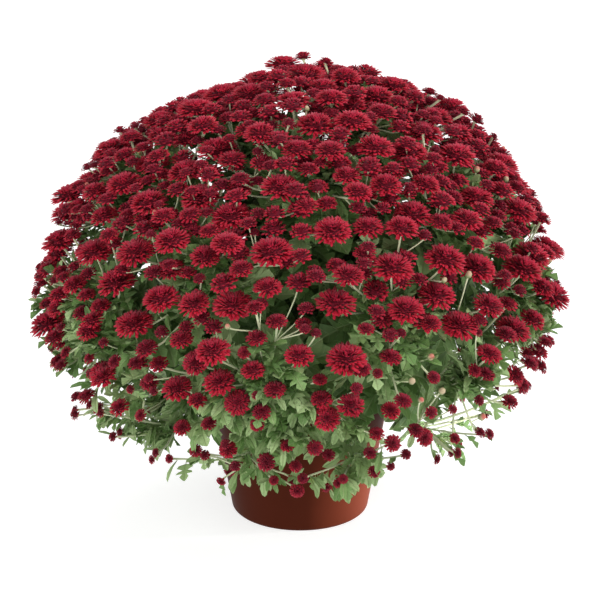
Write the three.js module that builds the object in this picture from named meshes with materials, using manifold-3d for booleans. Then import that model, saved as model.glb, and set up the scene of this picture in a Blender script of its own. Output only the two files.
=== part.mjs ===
// A pot chrysanthemum: a dome of crimson blooms on leafy stems that stand in the soil of a tapered pot.
// Millimetres, +Z up, origin at the middle of the pot's foot.
import * as THREE from "three";
import { mergeVertices } from "three/addons/utils/BufferGeometryUtils.js";
import Module from "manifold-3d";

const wasm = await Module();
wasm.setup();

const { PI, sin, cos, acos, sqrt, abs, floor, hypot, max, min } = Math;
const DEGREE = PI / 180;
const GOLDEN_ANGLE = PI * (3 - sqrt(5));
const UP = new THREE.Vector3(0, 0, 1);
const GAP = 0.3; // between pieces that rest on each other
const TOUCH = 1e-3; // an edge that ends this near a face only touches it
const THROUGH = 1; // how far a cut runs past what it cuts

// ---- Driving dimensions ----

const POT = {
  height: 150,
  footRadius: 75,
  rimRadius: 101,
  cornerRise: 5, // the wall turns into the foot over this height
  cornerInset: 3.5,
  collarHeight: 20,
  collarStep: 3,
  edge: 1, // the slant along the rim's edges
  wall: 2.6,
  floor: 3.2,
  drainHoles: 6,
  drainRadius: 5,
  drainCircle: 54,
  drainFacets: 10,
  facets: 28,
};

const SOIL = {
  topAtWall: 132,
  mound: 5, // how much higher the middle is
  shoulder: [0.86, 0.7], // a point of the mound, as shares of the radius and of its height
  crown: 0.4, // the mound is level inside this share of the radius
  clearance: 0.5, // between the soil and the pot's wall
  holeRadius: 4.6,
  holeSides: 5,
  rootDepth: 30,
};

// The dome is measured from its heart, a point on the axis above the rim, as a reach in each direction.
const DOME = { heart: 180, reach: 316, sideDrop: 50, dropPower: 3.4 };

const STEM = {
  count: 20,
  lowest: 89 * DEGREE, // from straight up
  soilSpread: 66,
  rise: 62, // how far the stem climbs before it leans over
  joint: 0.7, // where the spray takes over, as a share of the reach
  bareShares: [0, 0.2, 0.36], // bends of the leafless stretch, along the stem
  leafNodes: [0.86, 0.95],
  leavesPerNode: 2,
};

// Dense foliage low on each stem, as whorls of broad tips that fill the stem's own room.
const WHORLS = [
  { share: 0.36, tips: 5, halfTurn: 0, fill: 0.8 }, // the share is of the reach
  { share: 0.56, tips: 5, halfTurn: 1, fill: 0.74 },
];
const WHORL = { narrowest: 8, widest: 66, notch: 0.6, droop: 0.2, step: 2 };

// Shoots round the edge arch over the rim and hang in front of the pot.
const SHOOT = {
  count: 8,
  fromUp: 115 * DEGREE,
  soilRadius: 84,
  rise: 60,
  joint: 0.75,
  over: [122, 160], // the bend outside the rim, out from the axis and up
  leafNodes: [0.72, 0.93],
  leavesPerNode: 3,
  bareShares: [0, 0.22, 0.42, 0.56],
};

const STALK = {
  radiusAtSoil: 3.2,
  radiusAtJoint: 2.2,
  radiusAtTip: 1.3,
  nodeLength: 5, // the short stretch that leaves sprout from
  turnsTried: 12,
  branchEnd: 0.86, // the side stalks leave below this share of the reach
};

const LEAF = {
  length: [46, 62],
  halfWidth: 0.34, // as a share of the length
  spoonHalfWidth: 0.17,
  stalkShare: 0.2,
  neckHalfWidth: 1.3,
  neckDepth: 1.6,
  thickness: 1.6,
  sag: 0.2,
  arch: 0.05,
  outward: { onStem: 0.9, onShoot: 0.4 }, // how far a leaf leans along its stem
  hang: 0.9, // how far a leaf of a shoot leans down
  scatter: 0.5, // how far a leaf leans at random
  faceUp: 0.6, // how far its upper side turns up
  widest: 0.5, // where its middle point is, along the blade
  belowBlooms: 22, // how far under the dome's surface the leaves end
  offPot: 5,
  offNeighbour: 2,
  tries: 80,
  smallest: 0.5, // a leaf is cut back to this share of its length before it is given up
};
// Outlines from the neck to the tip: the share of the length, and of the half width.
const LOBED_EDGE = [[0.2, 0.8], [0.36, 0.42], [0.62, 1]];
const SPOON_EDGE = [[0.4, 0.55], [0.8, 1]];

// Blooms are set from the largest to the smallest, each clear of those before it.
const BLOOM_PASSES = [
  { radius: [18, 21.5], tries: 400, thinsFrom: 66 * DEGREE, lowest: 96 * DEGREE, petals: 5 },
  { radius: [14, 17], tries: 1300, thinsFrom: 66 * DEGREE, lowest: 106 * DEGREE, petals: 4 },
  { radius: [10, 13], tries: 2400, thinsFrom: 66 * DEGREE, lowest: 116 * DEGREE, petals: 3 },
  { radius: [8, 11], tries: 340, thinsFrom: 120 * DEGREE, lowest: 122 * DEGREE, petals: 3 },
];
const BLOOM = {
  spacing: 0.8, // least gap between two blooms
  thinning: 6, // how fast the blooms of a pass become sparse from where it thins
  lift: 1.2, // how far a bloom turns up from its own direction
  liftFades: { over: 40 * DEGREE, to: 124 * DEGREE }, // but the lowest blooms look outwards
  lean: 0.18,
  depth: 16, // how much deeper than the dome's surface a bloom may sit
  layering: 3, // blooms at different depths may overlap as seen from outside, by this weight on their depth
  cup: 0.42, // the calyx lies this share of the radius behind the petals
  calyx: 0.15,
  innerRadius: 0.64,
  innerRise: 0.28,
};

const COLOURS = { pot: 0x9c3f24, soil: 0x2e2018, leaf: 0x4a7038, bloom: 0xa3101f };

// ---- Random draws that are the same on every run ----

class Draws {
  constructor(seed) {
    this.state = seed >>> 0;
  }

  /** A number from low to high. */
  between(low, high) {
    this.state = (Math.imul(this.state, 1664525) + 1013904223) >>> 0;
    return low + (high - low) * (this.state / 4294967296);
  }

  /** A vector with each part from -1 to 1. */
  vector() {
    return new THREE.Vector3(this.between(-1, 1), this.between(-1, 1), this.between(-1, 1));
  }
}

// ---- The dome and what stands on it ----

/** A point at a radius from the axis, a turn about it and a height. */
function upright(radius, turn, height) {
  return new THREE.Vector3(radius * cos(turn), radius * sin(turn), height);
}

/** The unit vector at an angle from straight up and a turn about the axis. */
function heading(fromUp, turn) {
  return upright(sin(fromUp), turn, cos(fromUp));
}

/** How far the dome reaches from its heart at an angle from straight up. */
function reach(fromUp) {
  return DOME.reach - DOME.sideDrop * (fromUp / (PI / 2)) ** DOME.dropPower;
}

/** The point at a distance from the dome's heart. */
function fromHeart(direction, distance) {
  return direction.clone().multiplyScalar(distance).add(new THREE.Vector3(0, 0, DOME.heart));
}

/** A stem from its settings, with the two points that bend its curve from the soil to its joint. */
function planStem(settings, { turn, fromUp, soilRadius, whorls }, bend) {
  const direction = heading(fromUp, turn);
  const joint = fromHeart(direction, settings.joint * reach(fromUp) - GAP / 2);
  const soil = upright(soilRadius, turn, SOIL.topAtWall + SOIL.mound);
  const rise = soil.clone().addScaledVector(UP, settings.rise);
  const curve = new THREE.CubicBezierCurve3(soil, rise, bend(joint, direction), joint);
  return { ...settings, jointShare: settings.joint, turn, fromUp, direction, joint, soil, curve, whorls };
}

/** The flowering stems, spread over the dome by the golden angle. */
function planStems() {
  return Array.from({ length: STEM.count }, (_, i) => {
    const share = (i + 0.5) / STEM.count;
    const place = {
      turn: i * GOLDEN_ANGLE,
      fromUp: acos(1 - share * (1 - cos(STEM.lowest))),
      soilRadius: STEM.soilSpread * sqrt(share),
      whorls: WHORLS,
    };
    const bend = (joint, direction) => joint.clone().addScaledVector(direction, -STEM.rise);
    return planStem(STEM, place, bend);
  });
}

/** The shoots round the edge. */
function planShoots() {
  return Array.from({ length: SHOOT.count }, (_, i) => {
    const turn = ((i + 0.5) / SHOOT.count) * 2 * PI;
    const place = { turn, fromUp: SHOOT.fromUp, soilRadius: SHOOT.soilRadius, whorls: [] };
    return planStem({ ...SHOOT, hangs: true }, place, () => upright(SHOOT.over[0], turn, SHOOT.over[1]));
  });
}

/** Every bloom: where it is, which way it faces, its radius and petals, and the stem it belongs to. */
function setBlooms(stems) {
  const draws = new Draws(20);
  const blooms = [];
  for (const { radius: sizes, tries, thinsFrom, lowest, petals } of BLOOM_PASSES) {
    for (let i = 0; i < tries; i++) {
      const fromUp = acos(draws.between(cos(lowest), 1));
      const direction = heading(fromUp, draws.between(0, 2 * PI));
      const radius = draws.between(...sizes);
      const centre = fromHeart(direction, reach(fromUp) - draws.between(0, BLOOM.depth));
      const lean = draws.vector();
      const fullness = 1 - max(0, (fromUp - thinsFrom) / (lowest - thinsFrom));
      const isThinned = draws.between(0, 1) > fullness ** BLOOM.thinning;
      const isClear = (other) => {
        const apart = other.centre.clone().sub(centre);
        const distance = sqrt(apart.lengthSq() + BLOOM.layering * apart.dot(direction) ** 2);
        return distance > other.radius + radius + BLOOM.spacing;
      };
      if (isThinned || !blooms.every(isClear)) continue;
      const lift = BLOOM.lift * min(1, (BLOOM.liftFades.to - fromUp) / BLOOM.liftFades.over);
      const facing = direction.clone().addScaledVector(UP, lift);
      facing.addScaledVector(lean, BLOOM.lean).normalize();
      blooms.push({ centre, facing, radius, petals, stem: nearest(stems, direction) });
    }
  }
  return blooms;
}

/** The index of the stem whose direction is nearest. */
function nearest(stems, direction) {
  const nearness = stems.map((stem) => stem.direction.dot(direction));
  return nearness.indexOf(max(...nearness));
}

// ---- A surface that grows: stalks are rings of three, and side stalks and leaves sprout from faces ----

class Growth {
  constructor() {
    this.points = [];
    this.faces = [];
  }

  /** Adds points and returns their indices. */
  add(points) {
    const first = this.points.length;
    this.points.push(...points);
    return points.map((_, i) => first + i);
  }

  /** Joins two rings, which may differ in count, by a band of faces, and returns the faces' indices. */
  bridge(lower, upper) {
    const first = this.faces.length;
    let i = 0;
    let j = 0;
    while (i < lower.length || j < upper.length) {
      const a = lower[i % lower.length];
      const b = upper[j % upper.length];
      if ((i + 1) / lower.length <= (j + 1) / upper.length) {
        i++;
        this.faces.push([a, lower[i % lower.length], b]);
      } else {
        j++;
        this.faces.push([a, upper[j % upper.length], b]);
      }
    }
    return Array.from({ length: this.faces.length - first }, (_, k) => first + k);
  }

  /** Closes the end of a ring with a fan. */
  close(ring) {
    for (let i = 1; i + 1 < ring.length; i++) this.faces.push([ring[0], ring[i], ring[i + 1]]);
  }

  /** Opens a face and joins its corners to a ring of three, by the pairing with the least twist. */
  sprout(face, ring) {
    const corners = this.faces[face];
    const from = this.middle(corners);
    const to = this.middle(ring);
    const arm = (i, centre) => this.points[i].clone().sub(centre).normalize();
    const turnedBy = (shift) => [0, 1, 2].map((i) => corners[(i + shift) % 3]);
    const fit = (shift) => {
      return turnedBy(shift).reduce((sum, corner, i) => sum + arm(corner, from).dot(arm(ring[i], to)), 0);
    };
    const best = [0, 1, 2].reduce((a, b) => (fit(b) > fit(a) ? b : a));
    this.faces[face] = null;
    this.bridge(turnedBy(best), ring);
  }

  /** Grows something and returns true, or takes it back and returns false if it crosses what is near. */
  attempt(grow, neighbours = []) {
    const [points, faces] = [this.points.length, [...this.faces]];
    grow();
    const fresh = this.faces.slice(faces.length);
    const all = this.faces.filter(Boolean).map((face) => new Facet(this, face));
    const others = [...all, ...neighbours];
    const isFree = (facet) => !others.some((other) => facet.crosses(other));
    const isClear = all.slice(-fresh.length).every(isFree);
    if (!isClear) {
      this.points.length = points;
      this.faces = faces;
    }
    return isClear;
  }

  /** The centre of some points. */
  middle(indices) {
    const sum = new THREE.Vector3();
    for (const i of indices) sum.add(this.points[i]);
    return sum.divideScalar(indices.length);
  }

  /** The way a face looks. */
  normal(face) {
    const [a, b, c] = this.faces[face].map((i) => this.points[i]);
    return b.clone().sub(a).cross(c.clone().sub(a)).normalize();
  }

  /** The finished surface. */
  geometry() {
    const corners = this.faces.filter(Boolean).flat();
    const geometry = new THREE.BufferGeometry();
    const values = corners.flatMap((i) => this.points[i].toArray());
    geometry.setAttribute("position", new THREE.Float32BufferAttribute(values, 3));
    geometry.computeVertexNormals();
    return geometry;
  }
}

/** One face of a growth, for finding what it crosses. */
class Facet {
  constructor(growth, face) {
    this.growth = growth;
    this.indices = face;
    this.corners = face.map((i) => growth.points[i]);
    this.box = new THREE.Box3().setFromPoints(this.corners);
  }

  /** Whether an edge of this face goes through another face, rather than ending at it. */
  pierces(other) {
    return this.corners.some((start, i) => {
      const way = this.corners[(i + 1) % 3].clone().sub(start);
      const length = way.length();
      const ray = new THREE.Ray(start, way.normalize());
      const hit = ray.intersectTriangle(...other.corners, false, new THREE.Vector3());
      if (!hit) return false;
      const distance = start.distanceTo(hit);
      return distance > TOUCH && distance < length - TOUCH;
    });
  }

  /** Whether two faces cross. Faces that share an edge don't. */
  crosses(other) {
    if (!this.box.intersectsBox(other.box)) return false;
    const shared = this.indices.filter((i) => other.indices.includes(i)).length;
    if (this.growth === other.growth && shared > 1) return false;
    return this.pierces(other) || other.pierces(this);
  }
}

/** Points round a centre, anticlockwise about the axis, beginning on the side that a vector points to. */
function ringAbout(centre, axis, side, count, radiusOf, liftOf = () => 0) {
  const across = side.clone().addScaledVector(axis, -side.dot(axis)).normalize();
  const along = axis.clone().cross(across);
  return Array.from({ length: count }, (_, i) => {
    const turn = (2 * PI * i) / count;
    return centre
      .clone()
      .addScaledVector(across, radiusOf(i) * cos(turn))
      .addScaledVector(along, radiusOf(i) * sin(turn))
      .addScaledVector(axis, liftOf(i));
  });
}

/** A three-sided stalk along a path, cut square to a direction at its end, as its last ring and its faces. */
function growStalk(growth, path, radiusAt, side, endAxis) {
  let ring = null;
  const steps = [];
  path.forEach((point, i) => {
    const isEnd = i === path.length - 1;
    const axis = isEnd ? endAxis : path[i + 1].clone().sub(path[max(i - 1, 0)]).normalize();
    const next = growth.add(ringAbout(point, axis, side, 3, () => radiusAt(i / (path.length - 1))));
    if (ring) steps.push(growth.bridge(ring, next));
    else growth.close([...next].reverse());
    ring = next;
  });
  return { ring, steps };
}

// ---- Sprays ----

/** The ring of three behind a bloom, set square to the way between its stalk and its face. */
function growCalyx(growth, from, side, bloom) {
  const cup = bloom.centre.clone().addScaledVector(bloom.facing, -BLOOM.cup * bloom.radius);
  const axis = cup.clone().sub(from).normalize().add(bloom.facing).normalize();
  return growth.add(ringAbout(cup, axis, side, 3, () => BLOOM.calyx * bloom.radius));
}

/** Petals on a calyx: the outer layer's tips, with the inner layer standing up between them. */
function growPetals(growth, calyx, { centre, facing, radius, petals }) {
  const side = growth.points[calyx[0]].clone().sub(growth.middle(calyx));
  const isTip = (i) => i % 2 === 0;
  const radiusOf = (i) => (isTip(i) ? radius : BLOOM.innerRadius * radius);
  const liftOf = (i) => (isTip(i) ? 0 : BLOOM.innerRise * radius);
  const rim = growth.add(ringAbout(centre, facing, side, 2 * petals, radiusOf, liftOf));
  growth.bridge(calyx, rim);
  const inner = rim.filter((_, i) => !isTip(i));
  inner.forEach((point, i) => {
    growth.faces.push([point, rim[(2 * i + 2) % rim.length], inner[(i + 1) % petals]]);
  });
  growth.close(inner);
}

/** A side stalk out of a face, with its bloom. */
function growSideStalk(growth, face, bloom) {
  const corners = growth.faces[face];
  const from = growth.middle(corners);
  const calyx = growCalyx(growth, from, growth.points[corners[0]].clone().sub(from), bloom);
  growth.sprout(face, calyx);
  growPetals(growth, calyx, bloom);
}

/** The blooms that each of the three sides of an axis looks towards, with their side's way out. */
function shareOut(blooms, foot, direction, side) {
  const across = direction.clone().cross(side);
  const sectors = [1, 3, 5].map((sixth) => {
    const outward = side.clone().multiplyScalar(cos((sixth * PI) / 3));
    return { outward: outward.addScaledVector(across, sin((sixth * PI) / 3)), blooms: [] };
  });
  for (const bloom of blooms) {
    const out = bloom.centre.clone().sub(foot);
    const looks = sectors.map(({ outward }) => outward.dot(out));
    sectors[looks.indexOf(max(...looks))].blooms.push(bloom);
  }
  return sectors;
}

/** Takes out the bloom whose stalk climbs least from a point, so that the stalks above clear it. */
function takeLowest(blooms, from, direction, outward) {
  const climb = (bloom) => {
    const out = bloom.centre.clone().sub(from);
    return out.dot(direction) / out.dot(outward);
  };
  const lowest = blooms.reduce((best, bloom) => (climb(bloom) < climb(best) ? bloom : best));
  blooms.splice(blooms.indexOf(lowest), 1);
  return lowest;
}

/** A spray: its axis, a bloom at the axis's end, and a bloom on each side stalk. */
function makeSpray(stem, blooms) {
  const growth = new Growth();
  const { direction } = stem;
  const base = fromHeart(direction, stem.jointShare * reach(stem.fromUp) + GAP / 2);
  const end = fromHeart(direction, STALK.branchEnd * reach(stem.fromUp));
  const offAxis = (bloom) => bloom.centre.clone().sub(base).angleTo(direction);
  const inOrder = [...blooms].sort((a, b) => offAxis(b) - offAxis(a));
  const last = inOrder.pop();

  // the axis is turned so that its fullest side carries as few blooms as it can
  const level = upright(1, stem.turn + PI / 2, 0);
  const sides = Array.from({ length: STALK.turnsTried }, (_, i) => {
    return level.clone().applyAxisAngle(direction, (i / STALK.turnsTried) * (2 * PI / 3));
  });
  const fullest = (side) => {
    return max(...shareOut(inOrder, base, direction, side).map((sector) => sector.blooms.length));
  };
  const side = sides.reduce((best, other) => (fullest(other) < fullest(best) ? other : best));
  const count = max(fullest(side), 1);
  const path = Array.from({ length: count + 1 }, (_, i) => base.clone().lerp(end, i / count));
  const taper = (share) => STALK.radiusAtJoint + (STALK.radiusAtTip - STALK.radiusAtJoint) * share;
  const { ring, steps } = growStalk(growth, path, taper, side, direction);
  const calyx = growCalyx(growth, end, side, last);
  growth.bridge(ring, calyx);
  growPetals(growth, calyx, last);

  // a bloom whose stalk finds no clear way out of the axis is left off
  const seatsOf = (k) => steps.flatMap((faces) => [faces[2 * k], faces[2 * k + 1]]);
  shareOut(inOrder, base, direction, side).forEach(({ outward, blooms: waiting }, k) => {
    const seats = seatsOf(k);
    const total = waiting.length;
    for (let i = 0; i < total; i++) {
      const wish = floor(((i + 0.5) / total) * seats.length);
      const from = growth.middle(growth.faces[seats[wish]] ?? ring);
      const bloom = takeLowest(waiting, from, direction, outward);
      const farness = (face) => abs(seats.indexOf(face) - wish);
      const near = [...seats].sort((a, b) => farness(a) - farness(b));
      const tried = [...near, ...seatsOf((k + 1) % 3), ...seatsOf((k + 2) % 3)];
      const free = tried.filter((face) => growth.faces[face]);
      free.some((face) => growth.attempt(() => growSideStalk(growth, face, bloom)));
    }
  });
  return growth;
}

// ---- Leafy stems ----

/** A leaf's shape: the neck of three, the edge from right to left round the tip, and the middle. */
function shapeLeaf(root, along, upward, length, edge, halfWidth) {
  const right = along.clone().cross(upward);
  const neck = root.clone().addScaledVector(along, LEAF.stalkShare * length);
  const blade = (1 - LEAF.stalkShare) * length;
  const at = (share, aside) => {
    return neck
      .clone()
      .addScaledVector(along, share * blade)
      .addScaledVector(right, aside * halfWidth * length)
      .addScaledVector(upward, -LEAF.sag * length * share ** 2);
  };
  const ring = [
    neck.clone().addScaledVector(right, LEAF.neckHalfWidth),
    neck.clone().addScaledVector(upward, -LEAF.neckDepth),
    neck.clone().addScaledVector(right, -LEAF.neckHalfWidth),
  ];
  const rightSide = edge.map(([share, aside]) => at(share, aside));
  const leftSide = edge.map(([share, aside]) => at(share, -aside)).reverse();
  const middle = at(LEAF.widest, 0).addScaledVector(upward, LEAF.arch * length);
  return { ring, rim: [...rightSide, at(1, 0), ...leftSide], middle, upward };
}

/** Grows a leaf's stalk and blade out of a face. */
function growLeaf(growth, face, { ring, rim, middle, upward }) {
  const neck = growth.add(ring);
  growth.sprout(face, neck);
  const half = LEAF.thickness / 2;
  const [top, under] = growth.add([
    middle.clone().addScaledVector(upward, half),
    middle.clone().addScaledVector(upward, -half),
  ]);
  const edge = [neck[0], ...growth.add(rim), neck[2]];
  for (let i = 0; i + 1 < edge.length; i++) {
    growth.faces.push([top, edge[i], edge[i + 1]], [under, edge[i + 1], edge[i]]);
  }
  growth.faces.push([top, neck[2], neck[0]], [under, neck[0], neck[1]], [under, neck[1], neck[2]]);
}

/** Whether a point is inside a stem's own part of the dome, under its blooms and off the pot. */
function isOwnRoom(point, stem, stems) {
  const out = point.clone().sub(new THREE.Vector3(0, 0, DOME.heart));
  const distance = out.length();
  if (distance > reach(acos(out.z / distance)) - LEAF.belowBlooms) return false;
  const besidePot = POT.rimRadius + POT.collarStep + LEAF.offPot;
  if (point.z < POT.height + LEAF.offPot && hypot(point.x, point.y) < besidePot) return false;
  return stems.every((other) => {
    const across = stem.direction.clone().sub(other.direction).normalize();
    return other === stem || out.dot(across) > LEAF.offNeighbour;
  });
}

/** A leaf's lie, drawn at random round the way that its face of the stem looks. */
function drawLeaf(draws, stem, from, outward, tangent, isSpoon, size) {
  const { onStem, onShoot } = LEAF.outward;
  const along = outward.clone().addScaledVector(tangent, stem.hangs ? onShoot : onStem);
  if (stem.hangs) along.addScaledVector(UP, -LEAF.hang);
  along.addScaledVector(draws.vector(), LEAF.scatter).normalize();
  const upward = from.clone().sub(new THREE.Vector3(0, 0, DOME.heart)).normalize();
  upward.addScaledVector(UP, LEAF.faceUp);
  upward.addScaledVector(along, -upward.dot(along)).normalize();
  const length = draws.between(...LEAF.length) * size;
  return isSpoon
    ? shapeLeaf(from, along, upward, length, SPOON_EDGE, LEAF.spoonHalfWidth)
    : shapeLeaf(from, along, upward, length, LOBED_EDGE, LEAF.halfWidth);
}

/** A whorl of foliage round a stem: broad tips that reach out into the stem's room, with notches between. */
function whorlRing(stem, stems, side, whorl) {
  const axis = stem.direction;
  const centre = fromHeart(axis, whorl.share * reach(stem.fromUp));
  const isTip = (i) => (i + whorl.halfTurn) % 2 === 0;
  const rays = ringAbout(centre, axis, side, 2 * whorl.tips, () => 1).map((point) => point.sub(centre));
  const droop = (i) => (isTip(i) ? WHORL.droop : 0);
  const place = (i, radius) => {
    return centre.clone().addScaledVector(rays[i], radius).addScaledVector(axis, -droop(i) * radius);
  };
  return rays.map((_, i) => {
    let radius = WHORL.narrowest;
    const mayWiden = () => radius < WHORL.widest && isOwnRoom(place(i, radius / whorl.fill), stem, stems);
    while (mayWiden()) radius += WHORL.step;
    return place(i, isTip(i) ? radius : WHORL.notch * radius);
  });
}

/** A leafy stem, from its root in the soil to the joint that carries its spray. */
function makeLeafyStem(stem, stems, spray, draws) {
  const growth = new Growth();
  const length = stem.curve.getLength();
  const side = upright(1, stem.turn + PI / 2, 0);
  const ringAt = (point, share, axis) => {
    const radius = STALK.radiusAtSoil + (STALK.radiusAtJoint - STALK.radiusAtSoil) * share;
    return growth.add(ringAbout(point, axis, side, 3, () => radius));
  };
  const alongCurve = (share) => ringAt(stem.curve.getPointAt(share), share, stem.curve.getTangentAt(share));
  let ring = ringAt(stem.soil.clone().addScaledVector(UP, -SOIL.rootDepth), 0, UP);
  growth.close([...ring].reverse());
  const extend = (next) => {
    const faces = growth.bridge(ring, next);
    ring = next;
    return faces;
  };
  stem.bareShares.forEach((share) => extend(alongCurve(share)));
  stem.whorls.forEach((whorl) => extend(growth.add(whorlRing(stem, stems, side, whorl))));
  const nodes = stem.leafNodes.map((share) => {
    extend(alongCurve(share));
    return { share, faces: extend(alongCurve(share + STALK.nodeLength / length)) };
  });
  extend(ringAt(stem.joint, 1, stem.direction));
  growth.close(ring);

  // each leaf is turned and cut back until it crosses nothing and keeps to its stem's own room
  const neighbours = spray.faces.filter(Boolean).map((face) => new Facet(spray, face));
  nodes.forEach(({ share, faces }, n) => {
    for (let k = 0; k < stem.leavesPerNode; k++) {
      const face = faces[2 * ((k + n) % 3)];
      const from = growth.middle(growth.faces[face]);
      const outward = growth.normal(face);
      for (let attempt = 0; attempt < LEAF.tries; attempt++) {
        const size = 1 - (1 - LEAF.smallest) * (attempt / LEAF.tries);
        const isSpoon = stem.hangs && k > 0;
        const leaf = drawLeaf(draws, stem, from, outward, stem.curve.getTangentAt(share), isSpoon, size);
        const hasRoom = [leaf.middle, ...leaf.rim].every((point) => isOwnRoom(point, stem, stems));
        if (hasRoom && growth.attempt(() => growLeaf(growth, face, leaf), neighbours)) break;
      }
    }
  });
  return growth;
}

// ---- The pot and its soil ----

/** A solid of manifold-3d from a closed geometry. */
function toSolid(geometry) {
  const bare = geometry.clone();
  bare.deleteAttribute("normal");
  bare.deleteAttribute("uv");
  const merged = mergeVertices(bare, 1e-4);
  return new wasm.Manifold(
    new wasm.Mesh({
      numProp: 3,
      vertProperties: new Float32Array(merged.attributes.position.array),
      triVerts: new Uint32Array(merged.index.array),
    }),
  );
}

/** A geometry from a solid of manifold-3d. */
function toGeometry(solid) {
  const mesh = solid.getMesh();
  const geometry = new THREE.BufferGeometry();
  geometry.setAttribute("position", new THREE.BufferAttribute(mesh.vertProperties, mesh.numProp));
  geometry.setIndex(new THREE.BufferAttribute(mesh.triVerts, 1));
  const flat = geometry.toNonIndexed();
  flat.computeVertexNormals();
  return flat;
}

/** A body turned about the upright axis from a profile of radius and height. */
function turned(profile, facets) {
  const points = profile.map(([radius, height]) => new THREE.Vector2(radius, height));
  const geometry = new THREE.LatheGeometry(points, facets);
  geometry.rotateX(PI / 2);
  return geometry;
}

/** An upright prism for cutting a hole. */
function upPlug(radius, sides, bottom, top, x, y) {
  const geometry = new THREE.CylinderGeometry(radius, radius, top - bottom, sides);
  geometry.rotateX(PI / 2);
  geometry.translate(x, y, (top + bottom) / 2);
  return toSolid(geometry);
}

/** The outer radius of the pot's wall at a height. */
function potRadius(height) {
  return POT.footRadius + (POT.rimRadius - POT.footRadius) * (height / POT.height);
}

/** The tapered pot with its collar and its drain holes. */
function makePot() {
  const { height, rimRadius, wall, edge, cornerInset, cornerRise, collarHeight, collarStep } = POT;
  const collarFoot = height - collarHeight;
  const wallSolid = turned(
    [
      [0, 0],
      [POT.footRadius - cornerInset, 0],
      [potRadius(cornerRise), cornerRise],
      [potRadius(collarFoot), collarFoot],
      [potRadius(collarFoot) + collarStep, collarFoot + collarStep / 2],
      [rimRadius + collarStep, height - edge],
      [rimRadius + collarStep - edge, height],
      [rimRadius - wall + edge, height],
      [rimRadius - wall, height - edge],
      [potRadius(POT.floor) - wall, POT.floor],
      [0, POT.floor],
    ],
    POT.facets,
  );
  let solid = toSolid(wallSolid);
  for (let i = 0; i < POT.drainHoles; i++) {
    const turn = ((i + 0.5) / POT.drainHoles) * 2 * PI;
    const [x, y] = [POT.drainCircle * cos(turn), POT.drainCircle * sin(turn)];
    solid = solid.subtract(upPlug(POT.drainRadius, POT.drainFacets, -THROUGH, POT.floor + THROUGH, x, y));
  }
  return toGeometry(solid);
}

/** The soil, mounded to the middle, with a plain hole for each stem. */
function makeSoil(stems) {
  const inner = (height) => potRadius(height) - POT.wall - SOIL.clearance;
  const bottom = POT.floor + GAP;
  const top = SOIL.topAtWall;
  const profile = [
    [0, bottom],
    [inner(bottom), bottom],
    [inner(top), top],
    [SOIL.shoulder[0] * inner(top), top + SOIL.shoulder[1] * SOIL.mound],
    [SOIL.crown * inner(top), top + SOIL.mound],
    [0, top + SOIL.mound],
  ];
  let solid = toSolid(turned(profile, POT.facets));
  for (const { soil } of stems) {
    const holeBottom = soil.z - SOIL.rootDepth - GAP;
    const holeTop = top + SOIL.mound + THROUGH;
    solid = solid.subtract(upPlug(SOIL.holeRadius, SOIL.holeSides, holeBottom, holeTop, soil.x, soil.y));
  }
  return toGeometry(solid);
}

// ---- Assembly ----

/** A named sub-part with its own matt material. */
function subPart(name, geometry, color, roughness) {
  const material = new THREE.MeshStandardMaterial({ color, roughness, metalness: 0 });
  const mesh = new THREE.Mesh(geometry, material);
  mesh.name = name;
  return mesh;
}

/** The whole plant in its pot. */
function makePotChrysanthemum() {
  const stems = [...planStems(), ...planShoots()];
  const blooms = setBlooms(stems);
  const draws = new Draws(7);
  const group = new THREE.Group();
  group.add(subPart("pot", makePot(), COLOURS.pot, 0.45));
  group.add(subPart("potting_mix", makeSoil(stems), COLOURS.soil, 0.95));
  stems.forEach((stem, i) => {
    const number = String(i + 1).padStart(2, "0");
    const spray = makeSpray(stem, blooms.filter((bloom) => bloom.stem === i));
    const leafyStem = makeLeafyStem(stem, stems, spray, draws);
    group.add(subPart(`leafy_stem_${number}`, leafyStem.geometry(), COLOURS.leaf, 0.7));
    group.add(subPart(`flower_spray_${number}`, spray.geometry(), COLOURS.bloom, 0.75));
  });
  return group;
}

export default makePotChrysanthemum();
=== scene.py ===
"""A pot chrysanthemum: crimson blooms on branching stalks, leafy stems, soil and a tapered plastic pot.

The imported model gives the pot, the soil, the stems and the sprays. This scene grows the fine plant on the
same plan: every bloom in its petals, every stalk and leaf, and the finishes.
"""

from __future__ import annotations

import logging
from dataclasses import dataclass, field, replace
from enum import Enum
from math import acos, cos, pi, radians, sin, sqrt
from typing import Any, Callable, Iterable, Sequence

import bmesh
import bpy
import numpy as np
from mathutils import Matrix, Quaternion, Vector


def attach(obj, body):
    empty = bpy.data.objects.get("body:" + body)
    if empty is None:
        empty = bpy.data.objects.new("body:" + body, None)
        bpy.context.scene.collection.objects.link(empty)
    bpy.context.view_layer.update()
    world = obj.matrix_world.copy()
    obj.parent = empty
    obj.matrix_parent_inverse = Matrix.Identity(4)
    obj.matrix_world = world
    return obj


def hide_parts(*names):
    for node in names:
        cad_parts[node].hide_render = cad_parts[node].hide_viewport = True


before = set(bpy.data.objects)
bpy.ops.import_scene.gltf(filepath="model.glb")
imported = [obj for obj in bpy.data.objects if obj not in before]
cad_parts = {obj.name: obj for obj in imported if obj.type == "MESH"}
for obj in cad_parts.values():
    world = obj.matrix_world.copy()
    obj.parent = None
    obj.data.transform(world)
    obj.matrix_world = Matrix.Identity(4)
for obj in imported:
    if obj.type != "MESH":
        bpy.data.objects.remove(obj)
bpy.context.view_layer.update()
log = logging.getLogger("pot_chrysanthemum")

BODY = "root"
GROWTH = "growth"
UP = Vector((0.0, 0.0, 1.0))
GOLDEN_ANGLE = pi * (3 - sqrt(5))
MM = 0.001

Pair = tuple[float, float]
Triple = tuple[float, float, float]
Route = tuple[Vector, Vector, Vector, Vector]


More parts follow.
